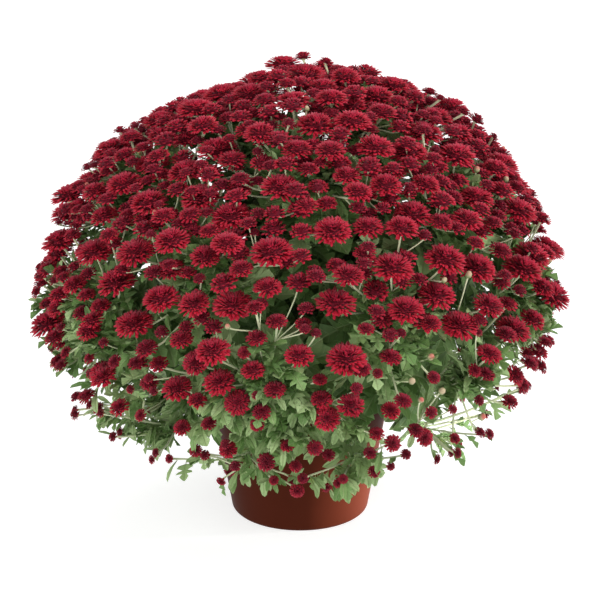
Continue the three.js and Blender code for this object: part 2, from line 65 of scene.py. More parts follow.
class Slot(Enum):
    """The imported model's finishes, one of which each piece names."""

    POT = "pot"
    SOIL = "soil"
    LEAF = "leaf"
    BLOOM = "bloom"


class Seed(Enum):
    """Where the random numbers of each part of the plant start; each stem adds its own number."""

    CRUMBS = 5
    MAIN_BLOOMS = 20
    UNDER_BLOOMS = 43
    SMALL_BLOOMS = 31
    STEM = 100
    SPRAY = 200


# ---- Random draws that are the same on every run ----


class Draws:
    """Random numbers from a seed, the same on every run."""

    FACTOR = 1664525
    STEP = 1013904223
    RANGE = 2**32

    def __init__(self, seed: Seed, number: int = 0) -> None:
        """Starts from a seed, moved on by a number."""
        self.state = seed.value + number

    def between(self, low: float, high: float) -> float:
        """A number from low to high."""
        self.state = (self.state * self.FACTOR + self.STEP) % self.RANGE
        return low + (high - low) * self.state / self.RANGE

    def vector(self) -> Vector:
        """A vector with each part from -1 to 1."""
        return Vector([self.between(-1, 1) for _ in range(3)])

    def chance(self, share: float) -> bool:
        """True in this share of the calls."""
        return self.between(0, 1) < share


def clamped(value: float) -> float:
    """A number kept between 0 and 1."""
    return min(max(value, 0.0), 1.0)


def raised(pair: Pair, share: float) -> float:
    """The pair's first number, with a share of its second added."""
    return pair[0] + pair[1] * share


def between_ends(ends: Pair, share: Any) -> Any:
    """The number, or row of numbers, at a share of the way between two ends."""
    return ends[0] + (ends[1] - ends[0]) * share


# ---- The plan of the plant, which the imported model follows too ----


def upright(radius: float, turn: float, height: float) -> Vector:
    """A point at a radius from the pot's axis, a turn about it and a height."""
    return Vector((radius * cos(turn), radius * sin(turn), height))


def bezier(points: Route, share: float) -> Vector:
    """Follows a cubic curve.

    Args:
        points: The curve's four points.
        share: How far along it, from 0 to 1.

    Returns:
        The point there.
    """
    a, b, c, d = points
    rest = 1 - share
    return a * rest**3 + b * (3 * rest**2 * share) + c * (3 * rest * share**2) + d * share**3


@dataclass(frozen=True)
class Dome:
    """The shape that the blooms stand on, as a reach from its heart in each direction."""

    heart: float = 180 * MM
    top_reach: float = 316 * MM
    side_drop: float = 50 * MM
    drop_power: float = 3.4

    def reach(self, from_up: float) -> float:
        """How far the dome reaches at an angle from straight up."""
        return self.top_reach - self.side_drop * (from_up / (pi / 2)) ** self.drop_power

    def point(self, direction: Vector, distance: float) -> Vector:
        """The point at a distance from the heart."""
        return direction * distance + UP * self.heart

    def direction(self, point: Vector) -> Vector:
        """The way from the heart to a point."""
        return (point - UP * self.heart).normalized()


@dataclass(frozen=True)
class View:
    """The camera's view.

    Attributes:
        eye: Where the camera stands.
        aim: The point that it looks at.
        width: The width of its square picture, in the picture's points.
        focal: Its focal length, in the same points.
        search: Where a line of sight is searched for the plant: from, to and in steps of.
    """

    eye: Triple = (0.0, -2.400, 1.104)
    aim: Triple = (0.0, 0.0, 0.240)
    width: float = 600.0
    focal: float = 2359.0
    search: Triple = (1.9, 2.9, 1 * MM)

    def turn(self) -> Quaternion:
        """The camera's turn."""
        return (Vector(self.aim) - Vector(self.eye)).to_track_quat("-Z", "Y")

    def size(self, point: Vector, points: float) -> float:
        """The real size of a length in the picture, at a point's distance."""
        ahead = (Vector(self.aim) - Vector(self.eye)).normalized()
        return points * (point - Vector(self.eye)).dot(ahead) / self.focal

    def seat(self, dome: Dome, across: float, down: float, depth: float) -> Vector:
        """Finds the place on the dome that is seen at a point of the picture.

        Args:
            dome: The dome.
            across: The point's place from the picture's left.
            down: The point's place from the picture's top.
            depth: How far under the dome's surface the place is.

        Returns:
            The place where the line of sight goes under the surface, or passes nearest to it.
        """
        way = Vector((across - self.width / 2, self.width / 2 - down, -self.focal)).normalized()
        way.rotate(self.turn())
        steps = np.arange(*self.search)[:, None]
        points = np.array(self.eye) + steps * np.array(way)
        apart = points - np.array((0.0, 0.0, dome.heart))
        reach = np.linalg.norm(apart, axis=1)
        over = reach - dome.reach(np.arccos(apart[:, 2] / reach))
        inside = np.flatnonzero(over < -depth)
        return Vector(points[inside[0] if len(inside) else over.argmin()])


@dataclass(frozen=True)
class Stem:
    """One stem's course: from the soil, by a curve, to the joint that carries its spray.

    Attributes:
        number: The stem's number, from 1.
        direction: The way from the dome's heart to its spray.
        from_up: That way's angle from straight up.
        joint_share: Where the joint is, as a share of the dome's reach.
        curve: The four points of its curve.
        hangs: Whether it is a low shoot, which hangs over the pot's rim.
    """

    number: int
    direction: Vector
    from_up: float
    joint_share: float
    curve: Route
    hangs: bool

    def at(self, share: float) -> Vector:
        """The point at a share of the stem."""
        return bezier(self.curve, share)


@dataclass(frozen=True)
class StemPlan:
    """Where the flowering stems and the low shoots stand and lean.

    Attributes:
        dome: The dome that they grow in.
        stems: How many flowering stems there are.
        stems_lowest: The angle from straight up that the lowest of them leans to.
        stems_spread: How far from the middle the outermost of them stands.
        stems_rise: How far each runs straight at both ends before it curves.
        stems_joint: Where their joints are, as a share of the dome's reach.
        shoots: How many low shoots there are.
        shoots_from_up: The angle from straight up that they lean to.
        shoots_spread: How far from the middle they stand.
        shoots_rise: How far each runs straight up before it curves.
        shoots_joint: Where their joints are, as a share of the dome's reach.
        shoots_over: The radius and height at which they arch over the rim.
        soil_top: The height at which all leave the soil.
    """

    dome: Dome = Dome()
    stems: int = 20
    stems_lowest: float = radians(89)
    stems_spread: float = 66 * MM
    stems_rise: float = 62 * MM
    stems_joint: float = 0.7
    shoots: int = 8
    shoots_from_up: float = radians(115)
    shoots_spread: float = 84 * MM
    shoots_rise: float = 60 * MM
    shoots_joint: float = 0.75
    shoots_over: Pair = (122 * MM, 160 * MM)
    soil_top: float = 137 * MM

    def all(self) -> list[Stem]:
        """Sets the flowering stems by the golden angle, then the shoots round the edge.

        Returns:
            The stems, by their numbers.
        """
        found = []
        for i in range(self.stems):
            share = (i + 0.5) / self.stems
            from_up = acos(1 - share * (1 - cos(self.stems_lowest)))
            found.append(self.stem(i + 1, i * GOLDEN_ANGLE, from_up, self.stems_spread * sqrt(share), False))
        for i in range(self.shoots):
            turn = (i + 0.5) / self.shoots * 2 * pi
            found.append(self.stem(len(found) + 1, turn, self.shoots_from_up, self.shoots_spread, True))
        return found

    def stem(self, number: int, turn: float, from_up: float, spread: float, hangs: bool) -> Stem:
        """Sets one stem.

        Args:
            number: Its number.
            turn: Its turn round the pot's axis.
            from_up: The angle from straight up that it leans to.
            spread: How far from the pot's axis it stands.
            hangs: Whether it is a low shoot.

        Returns:
            The stem.
        """
        rise = self.shoots_rise if hangs else self.stems_rise
        share = self.shoots_joint if hangs else self.stems_joint
        direction = upright(sin(from_up), turn, cos(from_up))
        joint = self.dome.point(direction, share * self.dome.reach(from_up))
        soil = upright(spread, turn, self.soil_top)
        radius, height = self.shoots_over
        bow = upright(radius, turn, height) if hangs else joint - direction * rise
        return Stem(number, direction, from_up, share, (soil, soil + UP * rise, bow, joint), hangs)


class Stage(Enum):
    """How far a flower head has opened."""

    FULL = "full"
    UNDER = "under"
    HALF_OPEN = "half_open"
    BUD = "bud"


@dataclass(frozen=True)
class Bloom:
    """One flower head: where it is, which way it faces, its radius, and the stem it belongs to."""

    centre: Vector
    facing: Vector
    radius: float
    stage: Stage
    stem: int

    def axes(self) -> np.ndarray:
        """The head's own three axes as rows, the last one the way that it faces."""
        return frame_of(self.facing.orthogonal(), self.facing)


@dataclass(frozen=True)
class BloomPass:
    """One round of setting blooms of a size, each clear of those set before it.

    Attributes:
        radius: Their least and greatest radius.
        tries: How many places are tried.
        thins_from: The angle from straight up under which they thin out.
        lowest: The angle under which there are none.
        stage: How far they have opened.
        depth: How far under the dome's surface they may be.
        thinning: How quickly they thin out.
    """

    radius: Pair
    tries: int
    thins_from: float
    lowest: float
    stage: Stage = Stage.FULL
    depth: float = 16 * MM
    thinning: float = 6.0


@dataclass
class BloomPlan:
    """Sets all the blooms over the dome.

    Attributes:
        stems: The stems that carry them.
        dome: The dome that they stand on.
        spacing: The least gap between the main blooms.
        layering: How much more a gap counts towards the heart than along the dome.
        lift: How much the blooms turn up from facing straight out.
        lift_fades: The angles over which that fades, and where it is gone.
        lean: How much they lean at random.
        upturn: How much the top ones turn up besides.
        young_from: The angle from straight up where the blooms start to be smaller.
        young_fades: The angle over which they become so.
        young_share: How much smaller the lowest ones are.
        full_to: The angle from straight up to which the blooms are larger.
        full_fades: The angle over which that fades.
        full_share: How much larger the top ones are.
        stray_room: The share of a stray head's radius that is kept clear of others.
        front_room: The same for the heads low on the front.
        front_lift: How much those turn up.
        front_depth: How far under the dome's surface they are.
        front_from: The angle from straight up under which the front has only those of its own list.
        open_from: The least radius of one that is open.
        opening_from: The least radius of one that is half open; smaller ones are buds.
        skirt_room: How far over the skirt's edge a half-open head or a bud stays.
        shoulder: The reach across of the flatter shoulder on the upper left.
        shoulder_base: The height where it starts.
        shoulder_fades: The distance over which it fades in, from each side and from its base.
        shoulder_drop: How much lower the heads are there.
        blooms: The blooms that are set.
        rows: The places and radii of those, for the test of room.
    """

    stems: list[Stem]
    dome: Dome = Dome()
    spacing: float = 0.8 * MM
    layering: float = 3.0
    lift: float = 1.2
    lift_fades: Pair = (radians(40), radians(124))
    lean: float = 0.18
    upturn: float = 0.25
    young_from: float = radians(86)
    young_fades: float = radians(14)
    young_share: float = 0.36
    full_to: float = radians(50)
    full_fades: float = radians(22)
    full_share: float = 0.07
    stray_room: float = 0.45
    front_room: float = 0.5
    front_lift: float = 0.55
    front_depth: float = 8 * MM
    front_from: float = radians(68)
    open_from: float = 7 * MM
    opening_from: float = 4.5 * MM
    skirt_room: float = 6 * MM
    shoulder: Pair = (-200 * MM, -20 * MM)
    shoulder_base: float = 370 * MM
    shoulder_fades: float = 40 * MM
    shoulder_drop: float = 15 * MM
    blooms: list[Bloom] = field(default_factory=list)
    rows: list[tuple[float, float, float, float]] = field(default_factory=list)

    def run(self, draws: Draws, passes: Iterable[BloomPass], spacing: float) -> None:
        """Sets the blooms of some passes.

        Args:
            draws: The random numbers to use.
            passes: The sizes, from the largest.
            spacing: The least gap between two blooms; less than nothing lets them overlap.
        """
        for step in passes:
            for _ in range(step.tries):
                from_up = acos(draws.between(cos(step.lowest), 1))
                direction = upright(sin(from_up), draws.between(0, 2 * pi), cos(from_up))
                radius = draws.between(*step.radius)
                centre = self.dome.point(direction, self.dome.reach(from_up) - draws.between(0, step.depth))
                lean = draws.vector()
                fullness = 1 - max(0.0, (from_up - step.thins_from) / (step.lowest - step.thins_from))
                thinned = draws.between(0, 1) > fullness**step.thinning
                if step.stage in (Stage.HALF_OPEN, Stage.BUD):
                    front = from_up > self.front_from and centre.y < 0
                    edge = skirt_edge(np.array([centre]))[0] + self.skirt_room
                    thinned = thinned or front or centre.z - radius < edge
                if thinned or not self.is_clear(centre, direction, radius + spacing):
                    continue
                fading, end = self.lift_fades
                lift = self.lift * min(1.0, (end - from_up) / fading)
                facing = (direction + UP * lift + lean * self.lean).normalized()
                self.blooms.append(Bloom(centre, facing, radius, step.stage, self.nearest_stem(direction)))

    def settle_heads(self) -> None:
        """Turns the heads up a little, fills the top ones out and keeps the lowest ones small."""
        for number, bloom in enumerate(self.blooms):
            polar = self.dome.direction(bloom.centre).angle(UP)
            low = clamped((polar - self.young_from) / self.young_fades)
            facing = (bloom.facing + UP * (self.upturn * (1 - low))).normalized()
            high = 1 - clamped((polar - self.full_to) / self.full_fades)
            radius = bloom.radius * (1 - self.young_share * low + self.full_share * high)
            self.blooms[number] = replace(bloom, facing=facing, radius=radius)

    def lower_shoulder(self) -> None:
        """Lowers the heads on the dome's upper left, which is flatter than the rest."""
        start, end = self.shoulder
        for number, bloom in enumerate(self.blooms):
            inside = min(bloom.centre.x - start, end - bloom.centre.x, bloom.centre.z - self.shoulder_base)
            lower = bloom.centre - UP * (self.shoulder_drop * clamped(inside / self.shoulder_fades))
            self.blooms[number] = replace(bloom, centre=lower)

    def add_strays(self, strays: Iterable[tuple[Triple, Triple, float]]) -> None:
        """Adds heads one by one, each where it overlaps no other by much.

        Args:
            strays: Each head's place, the way that it faces, and its radius.
        """
        for place_at, way, radius in strays:
            centre = Vector(place_at)
            direction = self.dome.direction(centre)
            if self.is_clear(centre, direction, self.stray_room * radius):
                stem = self.nearest_stem(direction)
                self.blooms.append(Bloom(centre, Vector(way).normalized(), radius, Stage.FULL, stem))

    def add_front(self, heads: Iterable[Triple], view: View) -> None:
        """Adds the heads low on the front, the larger ones open, the smaller ones still opening.

        Args:
            heads: Each head's place in the view's picture, from its left and its top, and its radius there.
            view: The view.
        """
        for across, down, size in heads:
            centre = view.seat(self.dome, across, down, self.front_depth)
            radius = view.size(centre, size)
            direction = self.dome.direction(centre)
            stage = (
                Stage.FULL if radius > self.open_from
                else Stage.HALF_OPEN if radius > self.opening_from else Stage.BUD
            )
            if self.is_clear(centre, direction, self.front_room * radius):
                facing = (direction + UP * self.front_lift).normalized()
                self.blooms.append(Bloom(centre, facing, radius, stage, self.nearest_stem(direction)))

    def nearest_stem(self, direction: Vector) -> int:
        """The number of the stem that leans most in a direction."""
        return int(np.argmax([stem.direction.dot(direction) for stem in self.stems]))

    def is_clear(self, centre: Vector, direction: Vector, radius: float) -> bool:
        """Tests whether a bloom would have room among those that are set.

        Args:
            centre: The bloom's place.
            direction: The way to it from the dome's heart.
            radius: The radius that it needs.

        Returns:
            Whether it is clear of all others.
        """
        if not self.blooms:
            return True
        self.rows += [(*bloom.centre, bloom.radius) for bloom in self.blooms[len(self.rows):]]
        rows = np.array(self.rows)
        apart = rows[:, :3] - np.array(centre)
        in_depth = apart @ np.array(direction)
        distance = np.sqrt((apart**2).sum(1) + self.layering * in_depth**2)
        return bool((distance > rows[:, 3] + radius).all())


# The heads of the dome, then the smaller ones under them, then the half-open ones and the buds.
MAIN_PASSES = (
    BloomPass((18 * MM, 21.5 * MM), 400, radians(66), radians(96)),
    BloomPass((14 * MM, 17 * MM), 1300, radians(66), radians(106)),
    BloomPass((10 * MM, 13 * MM), 2400, radians(66), radians(116)),
    BloomPass((8 * MM, 11 * MM), 340, radians(120), radians(122)),
)
UNDER_PASSES = (
    BloomPass((12 * MM, 15 * MM), 2400, radians(42), radians(72), Stage.UNDER, 18 * MM, 3.0),
    BloomPass((8.5 * MM, 11 * MM), 3600, radians(44), radians(86), Stage.UNDER, 18 * MM, 3.0),
)
SMALL_PASSES = (
    BloomPass((5.5 * MM, 8.0 * MM), 900, radians(84), radians(118), Stage.HALF_OPEN, 12 * MM, 1.6),
    BloomPass((2.8 * MM, 3.8 * MM), 280, radians(90), radians(118), Stage.BUD, 14 * MM, 1.0),
)
# The least gap between the blooms of each; less than nothing lets them overlap.
UNDER_SPACING = -5.0 * MM
SMALL_SPACING = -1.0 * MM

# How low the skirt hangs, by the distance to the right of the pot's middle, and its rise to the front.
SKIRT_EDGE = (
    (-0.276, 0.170), (-0.249, 0.118), (-0.206, 0.095), (-0.165, 0.072), (-0.085, 0.056),
    (-0.045, 0.030), (0.030, 0.016), (0.077, 0.038), (0.102, 0.068), (0.135, 0.108),
    (0.186, 0.144), (0.232, 0.166), (0.262, 0.195),
)
SKIRT_SLOPE = 0.36


def skirt_edge(points: np.ndarray) -> np.ndarray:
    """The least height of leaves and small heads at some points."""
    rights, heights = zip(*SKIRT_EDGE)
    return np.interp(points[:, 0], rights, heights) + SKIRT_SLOPE * np.maximum(-points[:, 1], 0.0)


# The heads that stand clear of the dome's outline, and the one that hangs in front of the pot: each one's
# place, the way that it faces, and its radius.
STRAYS = (
    ((0.003, 0.030, 0.503), (-0.15, 0.5, 1.0), 10.0 * MM),
    ((0.028, 0.022, 0.500), (0.35, 0.3, 1.0), 9.0 * MM),
    ((0.147, 0.000, 0.466), (0.3, 0.2, 1.0), 7.5 * MM),
    ((0.172, -0.010, 0.454), (0.5, 0.2, 1.0), 10.0 * MM),
    ((0.187, 0.010, 0.440), (0.7, 0.2, 1.0), 11.0 * MM),
    ((0.138, 0.030, 0.465), (0.3, 0.3, 1.0), 10.0 * MM),
    ((0.205, 0.000, 0.424), (0.9, 0.0, 1.0), 6.0 * MM),
    ((-0.285, 0.000, 0.250), (-1.0, -0.2, 0.7), 9.0 * MM),
    ((-0.281, 0.000, 0.278), (-1.0, -0.1, 0.9), 6.5 * MM),
    ((-0.248, 0.000, 0.112), (-1.0, -0.3, 0.4), 6.0 * MM),
    ((-0.003, -0.166, 0.089), (0.0, -0.8, -0.05), 8.4 * MM),
)

# The heads low on the front, each as its place and radius in the view's picture.
FRONT_HEADS = (
    (159, 361, 17), (195, 362, 14), (148, 378, 6), (166, 393, 11), (153, 391, 5), (198, 402, 5.5),
    (140, 415, 7), (118, 399, 7), (130, 389, 5), (104, 372, 6), (90, 373, 6.5), (89, 358, 7),
    (114, 361, 8), (103, 342, 6), (124, 339, 6.5), (149, 337, 7.5), (141, 328, 7), (173, 333, 8.5),
    (191, 333, 5), (219, 358, 10), (244, 352, 7.5), (240, 370, 13.5), (237, 402, 14.5), (257, 424, 8),
    (256, 395, 5), (278, 375, 11), (266, 365, 7.5), (289, 348, 15), (60, 327, 6), (51, 347, 6.5),
    (65, 352, 7.5), (58, 362, 6), (74, 389, 5.5), (74, 414, 6.5), (100, 413, 5), (456, 330, 14),
    (479, 332, 5), (505, 332, 12.5), (517, 340, 7), (539, 347, 5.5), (542, 366, 9), (516, 375, 12),
    (524, 384, 9), (475, 370, 8), (480, 400, 6.5), (453, 409, 5.5), (482, 417, 4), (432, 412, 7),
    (434, 377, 7.5), (442, 391, 4), (421, 400, 3.5), (431, 357, 4), (405, 391, 10), (412, 381, 4),
    (425, 437, 10), (384, 425, 14), (393, 443, 9.5), (361, 413, 11), (350, 403, 9), (357, 388, 7),
    (327, 418, 14), (337, 366, 20), (364, 368, 8), (378, 373, 6), (401, 362, 13.5), (391, 344, 13.5),
    (330, 337, 15), (315, 448, 8.5), (285, 442, 7.5), (225, 444, 5.5), (235, 466, 6), (266, 462, 10),
    (315, 454, 9), (391, 466, 5),
)


# ---- Shapes, modelled once and copied by the hundred ----


@dataclass(frozen=True)
class Shape:
    """A small modelled shape: its points, and its faces as rows of point numbers."""

    points: np.ndarray
    corners: np.ndarray
    counts: np.ndarray


class Bench:
    """Models one shape in edit mode, with nothing else selected."""

    def __init__(self, add: Callable[..., Any], **settings: Any) -> None:
        """Adds a primitive and goes into edit mode on it.

        Args:
            add: The operator that adds it.
            **settings: The operator's settings.
        """
        bpy.ops.object.select_all(action="DESELECT")
        add(**settings)
        self.object = bpy.context.active_object
        bpy.ops.object.mode_set(mode="EDIT")

    def pick(self, test: Callable[[Vector], bool]) -> "Bench":
        """Selects the points that pass a test, and the edges and faces between them.

        Args:
            test: The test of a point's place.

        Returns:
            The bench.
        """
        bpy.ops.mesh.select_mode(type="VERT")
        bpy.ops.mesh.select_all(action="DESELECT")
        edited = bmesh.from_edit_mesh(self.object.data)
        for vertex in edited.verts:
            vertex.select = test(vertex.co)
        edited.select_flush_mode()
        bmesh.update_edit_mesh(self.object.data)
        return self

    def move(self, x: float, y: float, z: float) -> "Bench":
        """Moves what is selected."""
        bpy.ops.transform.translate(value=(x, y, z))
        return self

    def resize(self, x: float, y: float, z: float, centre: Sequence[float]) -> "Bench":
        """Scales what is selected about a point."""
        bpy.ops.transform.resize(value=(x, y, z), center_override=tuple(centre))
        return self

    def extrude(self, x: float, y: float, z: float) -> "Bench":
        """Extrudes what is selected."""
        bpy.ops.mesh.extrude_region_move(TRANSFORM_OT_translate={"value": (x, y, z)})
        return self

    def pick_all(self) -> "Bench":
        """Selects everything."""
        bpy.ops.mesh.select_all(action="SELECT")
        return self

    def turn_outwards(self) -> "Bench":
        """Makes all faces point outwards.

        Returns:
            The bench.
        """
        self.pick_all()
        bpy.ops.mesh.normals_make_consistent(inside=False)
        return self

    def done(self) -> bpy.types.Object:
        """Leaves edit mode.

        Returns:
            The finished object, with its place put into its mesh.
        """
        bpy.ops.object.mode_set(mode="OBJECT")
        bpy.ops.object.transform_apply(location=True, rotation=True, scale=True)
        return self.object

    def shape(self) -> Shape:
        """Takes the finished shape off the bench.

        Returns:
            The shape.
        """
        piece = self.done()
        mesh = piece.data
        points = np.zeros(len(mesh.vertices) * 3)
        mesh.vertices.foreach_get("co", points)
        corners = np.zeros(len(mesh.loops), int)
        mesh.loops.foreach_get("vertex_index", corners)
        counts = np.zeros(len(mesh.polygons), int)
        mesh.polygons.foreach_get("loop_total", counts)
        bpy.data.objects.remove(piece)
        return Shape(points.reshape(-1, 3), corners, counts)


@dataclass
class Bundle:
    """Many small shapes that become one piece, each point with three values for its finish."""

    points: list[np.ndarray] = field(default_factory=list)
    corners: list[np.ndarray] = field(default_factory=list)
    counts: list[np.ndarray] = field(default_factory=list)
    values: list[np.ndarray] = field(default_factory=list)
    total: int = 0

    def add(self, points: np.ndarray, shape: Shape, values: np.ndarray) -> None:
        """Adds copies of a shape.

        Args:
            points: The copies' points, as copies by points by three.
            shape: The shape that they are copies of.
            values: The finish's three values, for each point or for all at once.
        """
        copies, size = points.shape[0], points.shape[1]
        shift = self.total + size * np.arange(copies)
        self.points.append(points.reshape(-1, 3))
        self.values.append(np.broadcast_to(values, points.shape).reshape(-1, 3))
        self.corners.append((shape.corners[None, :] + shift[:, None]).reshape(-1))
        self.counts.append(np.tile(shape.counts, copies))
        self.total += copies * size

    def piece(self, name: str, material: bpy.types.Material, rounding: float = 0.0) -> bpy.types.Object:
        """Makes the piece.

        Args:
            name: Its name.
            material: Its finish.
            rounding: The angle under which its edges are smoothed, or 0 for flat faces.

        Returns:
            The new object.
        """
        mesh = bpy.data.meshes.new(name)
        points = np.concatenate(self.points)
        corners = np.concatenate(self.corners)
        counts = np.concatenate(self.counts)
        mesh.vertices.add(len(points))
        mesh.vertices.foreach_set("co", points.astype(np.float32).ravel())
        mesh.loops.add(len(corners))
        mesh.loops.foreach_set("vertex_index", corners.astype(np.int32))
        mesh.polygons.add(len(counts))
        mesh.polygons.foreach_set("loop_start", (np.cumsum(counts) - counts).astype(np.int32))
        mesh.update(calc_edges=True)
        growth = mesh.attributes.new(GROWTH, "FLOAT_VECTOR", "POINT")
        growth.data.foreach_set("vector", np.concatenate(self.values).astype(np.float32).ravel())
        mesh.validate()
        mesh.materials.append(material)
        piece = bpy.data.objects.new(name, mesh)
        bpy.context.scene.collection.objects.link(piece)
        if rounding:
            smooth(piece, rounding)
        return piece


def smooth(piece: bpy.types.Object, angle: float) -> None:
    """Smooths a piece's edges that are flatter than an angle.

    Args:
        piece: The piece.
        angle: The angle.
    """
    bpy.ops.object.select_all(action="DESELECT")
    piece.select_set(True)
    bpy.context.view_layer.objects.active = piece
    bpy.ops.object.shade_smooth_by_angle(angle=angle)


def place(piece: bpy.types.Object, slot: Slot, *nodes: str) -> None:
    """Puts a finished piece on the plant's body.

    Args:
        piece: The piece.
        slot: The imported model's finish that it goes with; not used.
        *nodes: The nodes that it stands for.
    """
    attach(piece, BODY)
    if nodes:
        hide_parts(*nodes)
    log.info("%s: %d faces", piece.name, len(piece.data.polygons))


def bend(points: np.ndarray, lift: np.ndarray, curl: np.ndarray) -> np.ndarray:
    """Bends copies of a shape that lie along y, each to its own arc.

    Args:
        points: The copies' points, with x across, y along and z up.
        lift: Each copy's angle from level at its root.
        curl: Each copy's further turn from root to tip, per length.

    Returns:
        The bent points.
    """
    curl = np.where(np.abs(curl) < 1e-6, 1e-6, curl)[:, None]
    start = lift[:, None]
    angle = start + curl * points[:, :, 1]
    along = (np.sin(angle) - np.sin(start)) / curl - points[:, :, 2] * np.sin(angle)
    upward = (np.cos(start) - np.cos(angle)) / curl + points[:, :, 2] * np.cos(angle)
    return np.stack([points[:, :, 0], along, upward], axis=2)


def growth_values(first: Any, second: Any, third: Any) -> np.ndarray:
    """The three values that a finish reads at each point, from rows of numbers or single ones."""
    return np.stack(np.broadcast_arrays(first, second, third), axis=-1)


def frame_of(along: Vector, upward: Vector) -> np.ndarray:
    """Finds the three axes of a leaf or bloom.

    Args:
        along: The way that it lies.
        upward: The way that its upper side looks, more or less.

    Returns:
        The ways across, along and up, as rows.
    """
    along = along.normalized()
    upward = (upward - along * upward.dot(along)).normalized()
    return np.array([along.cross(upward), along, upward])


# A way that no stalk runs, which the seam of a tube is turned from.
TUBE_SEAM = (0.3, 0.5, 0.8)


def tube(points: np.ndarray, radii: np.ndarray, sides: int) -> tuple[np.ndarray, Shape]:
    """A closed tube along a path.

    Args:
        points: The path.
        radii: The tube's radius at each point of the path.
        sides: How many sides the tube has.

    Returns:
        The tube's points as one copy, and its shape.
    """
    steps = np.gradient(points, axis=0)
    steps /= np.linalg.norm(steps, axis=1, keepdims=True)
    turn = 2 * pi * np.arange(sides) / sides
    side = np.cross(steps[0], TUBE_SEAM)
    rings = []
    for point, step, radius in zip(points, steps, radii):
        side = side - step * (side @ step)
        side /= np.linalg.norm(side)
        other = np.cross(step, side)
        rings.append(point + radius * (np.cos(turn)[:, None] * side + np.sin(turn)[:, None] * other))
    around = np.arange(sides)
    following = (around + 1) % sides
    quad = np.stack([around, following, sides + following, sides + around], axis=1).reshape(-1)
    spans = len(points) - 1
    corners = [around[::-1], *(quad + sides * k for k in range(spans)), around + sides * spans]
    counts = np.array([sides, *[4] * (sides * spans), sides])
    rows = np.concatenate(rings)
    return rows[None], Shape(rows, np.concatenate(corners), counts)


# ---- Finishes ----


class Value:
    """A number in a shader, which the usual operators build on."""

    def __init__(self, paint: "Paint", socket: bpy.types.NodeSocket) -> None:
        """Wraps a socket of a material."""
        self.paint = paint
        self.socket = socket

    def _math(self, operation: str, *parts: "Value | float") -> "Value":
        """A Math node on some parts."""
        return self.paint.node("ShaderNodeMath", {"operation": operation}, dict(enumerate(parts)))

    def __add__(self, other: "Value | float") -> "Value":
        """Sum."""
        return self._math("ADD", self, other)

    __radd__ = __add__

    def __sub__(self, other: "Value | float") -> "Value":
        """Difference."""
        return self._math("SUBTRACT", self, other)

    def __rsub__(self, other: "Value | float") -> "Value":
        """Difference, the other way round."""
        return self._math("SUBTRACT", other, self)

    def __mul__(self, other: "Value | float") -> "Value":
        """Product."""
        return self._math("MULTIPLY", self, other)

    __rmul__ = __mul__

    def __abs__(self) -> "Value":
        """Size without its sign."""
        return self._math("ABSOLUTE", self)

    def wave(self) -> "Value":
        """Its sine, from -1 to 1."""
        return self._math("SINE", self)

    def ramp(self, low: float, high: float) -> "Value":
        """A smooth step.

        Args:
            low: The value up to which it is 0.
            high: The value from which it is 1.

        Returns:
            The step.
        """
        return self.paint.node(
            "ShaderNodeMapRange",
            {"interpolation_type": "SMOOTHSTEP"},
            {"Value": self, "From Min": low, "From Max": high},
        )


Colour = Triple


class Paint:
    """A material whose nodes are made by one method."""

    MIX_SOCKETS = (6, 7, 2)

    def __init__(self, name: str) -> None:
        """Makes the material with its shader and nothing else.

        Args:
            name: Its name.
        """
        self.material = bpy.data.materials.new(name)
        self.material.use_nodes = True
        self.tree = self.material.node_tree
        self.shader = self.tree.nodes["Principled BSDF"]

    def node(self, kind: str, settings: dict[str, Any], sockets: dict[Any, Any], output: Any = 0) -> Value:
        """Adds a node.

        Args:
            kind: The node's type.
            settings: Its settings.
            sockets: A value or a link for each socket, by name or number.
            output: The output to hand back, by name or number.

        Returns:
            The output.
        """
        made = self.tree.nodes.new(kind)
        for name, value in settings.items():
            setattr(made, name, value)
        for name, value in sockets.items():
            self.feed(made.inputs[name], value)
        return Value(self, made.outputs[output])

    def feed(self, socket: bpy.types.NodeSocket, value: Any) -> None:
        """Links a value to a socket, or sets it.

        Args:
            socket: The socket.
            value: A value, a number, or a colour or vector.
        """
        if isinstance(value, Value):
            self.tree.links.new(value.socket, socket)
        elif socket.type == "RGBA":
            socket.default_value = (*value, 1.0)
        else:
            socket.default_value = value

    def mix(self, share: Value | float, low: Value | Colour, high: Value | Colour) -> Value:
        """Mixes two colours.

        Args:
            share: How much of the second there is.
            low: The first colour.
            high: The second colour.

        Returns:
            The mixed colour.
        """
        first, second, result = self.MIX_SOCKETS
        sockets = {"Factor": share, first: low, second: high}
        return self.node("ShaderNodeMix", {"data_type": "RGBA"}, sockets, result)

    def noise(self, scale: float, detail: float = 2.0, where: Value | None = None) -> Value:
        """A noise on the piece's own coordinates, from 0 to 1."""
        where = where or self.node("ShaderNodeTexCoord", {}, {}, "Object")
        return self.node("ShaderNodeTexNoise", {}, {"Vector": where, "Scale": scale, "Detail": detail})

    def growth(self) -> tuple[Value, Value, Value]:
        """Reads the three values that each grown piece carries at its points.

        Returns:
            The three values.
        """
        read = self.node("ShaderNodeAttribute", {"attribute_name": GROWTH}, {}, "Vector")
        split = self.node("ShaderNodeSeparateXYZ", {}, {0: read}).socket.node
        return tuple(Value(self, output) for output in split.outputs)

    def set(self, **sockets: Any) -> None:
        """Sets or links the shader's sockets, with _ for a space in a name."""
        for name, value in sockets.items():
            self.feed(self.shader.inputs[name.replace("_", " ")], value)

    def bump(self, height: Value, strength: float, distance: float) -> None:
        """Raises the surface by a height."""
        sockets = {"Height": height, "Strength": strength, "Distance": distance}
        self.set(Normal=self.node("ShaderNodeBump", {}, sockets))


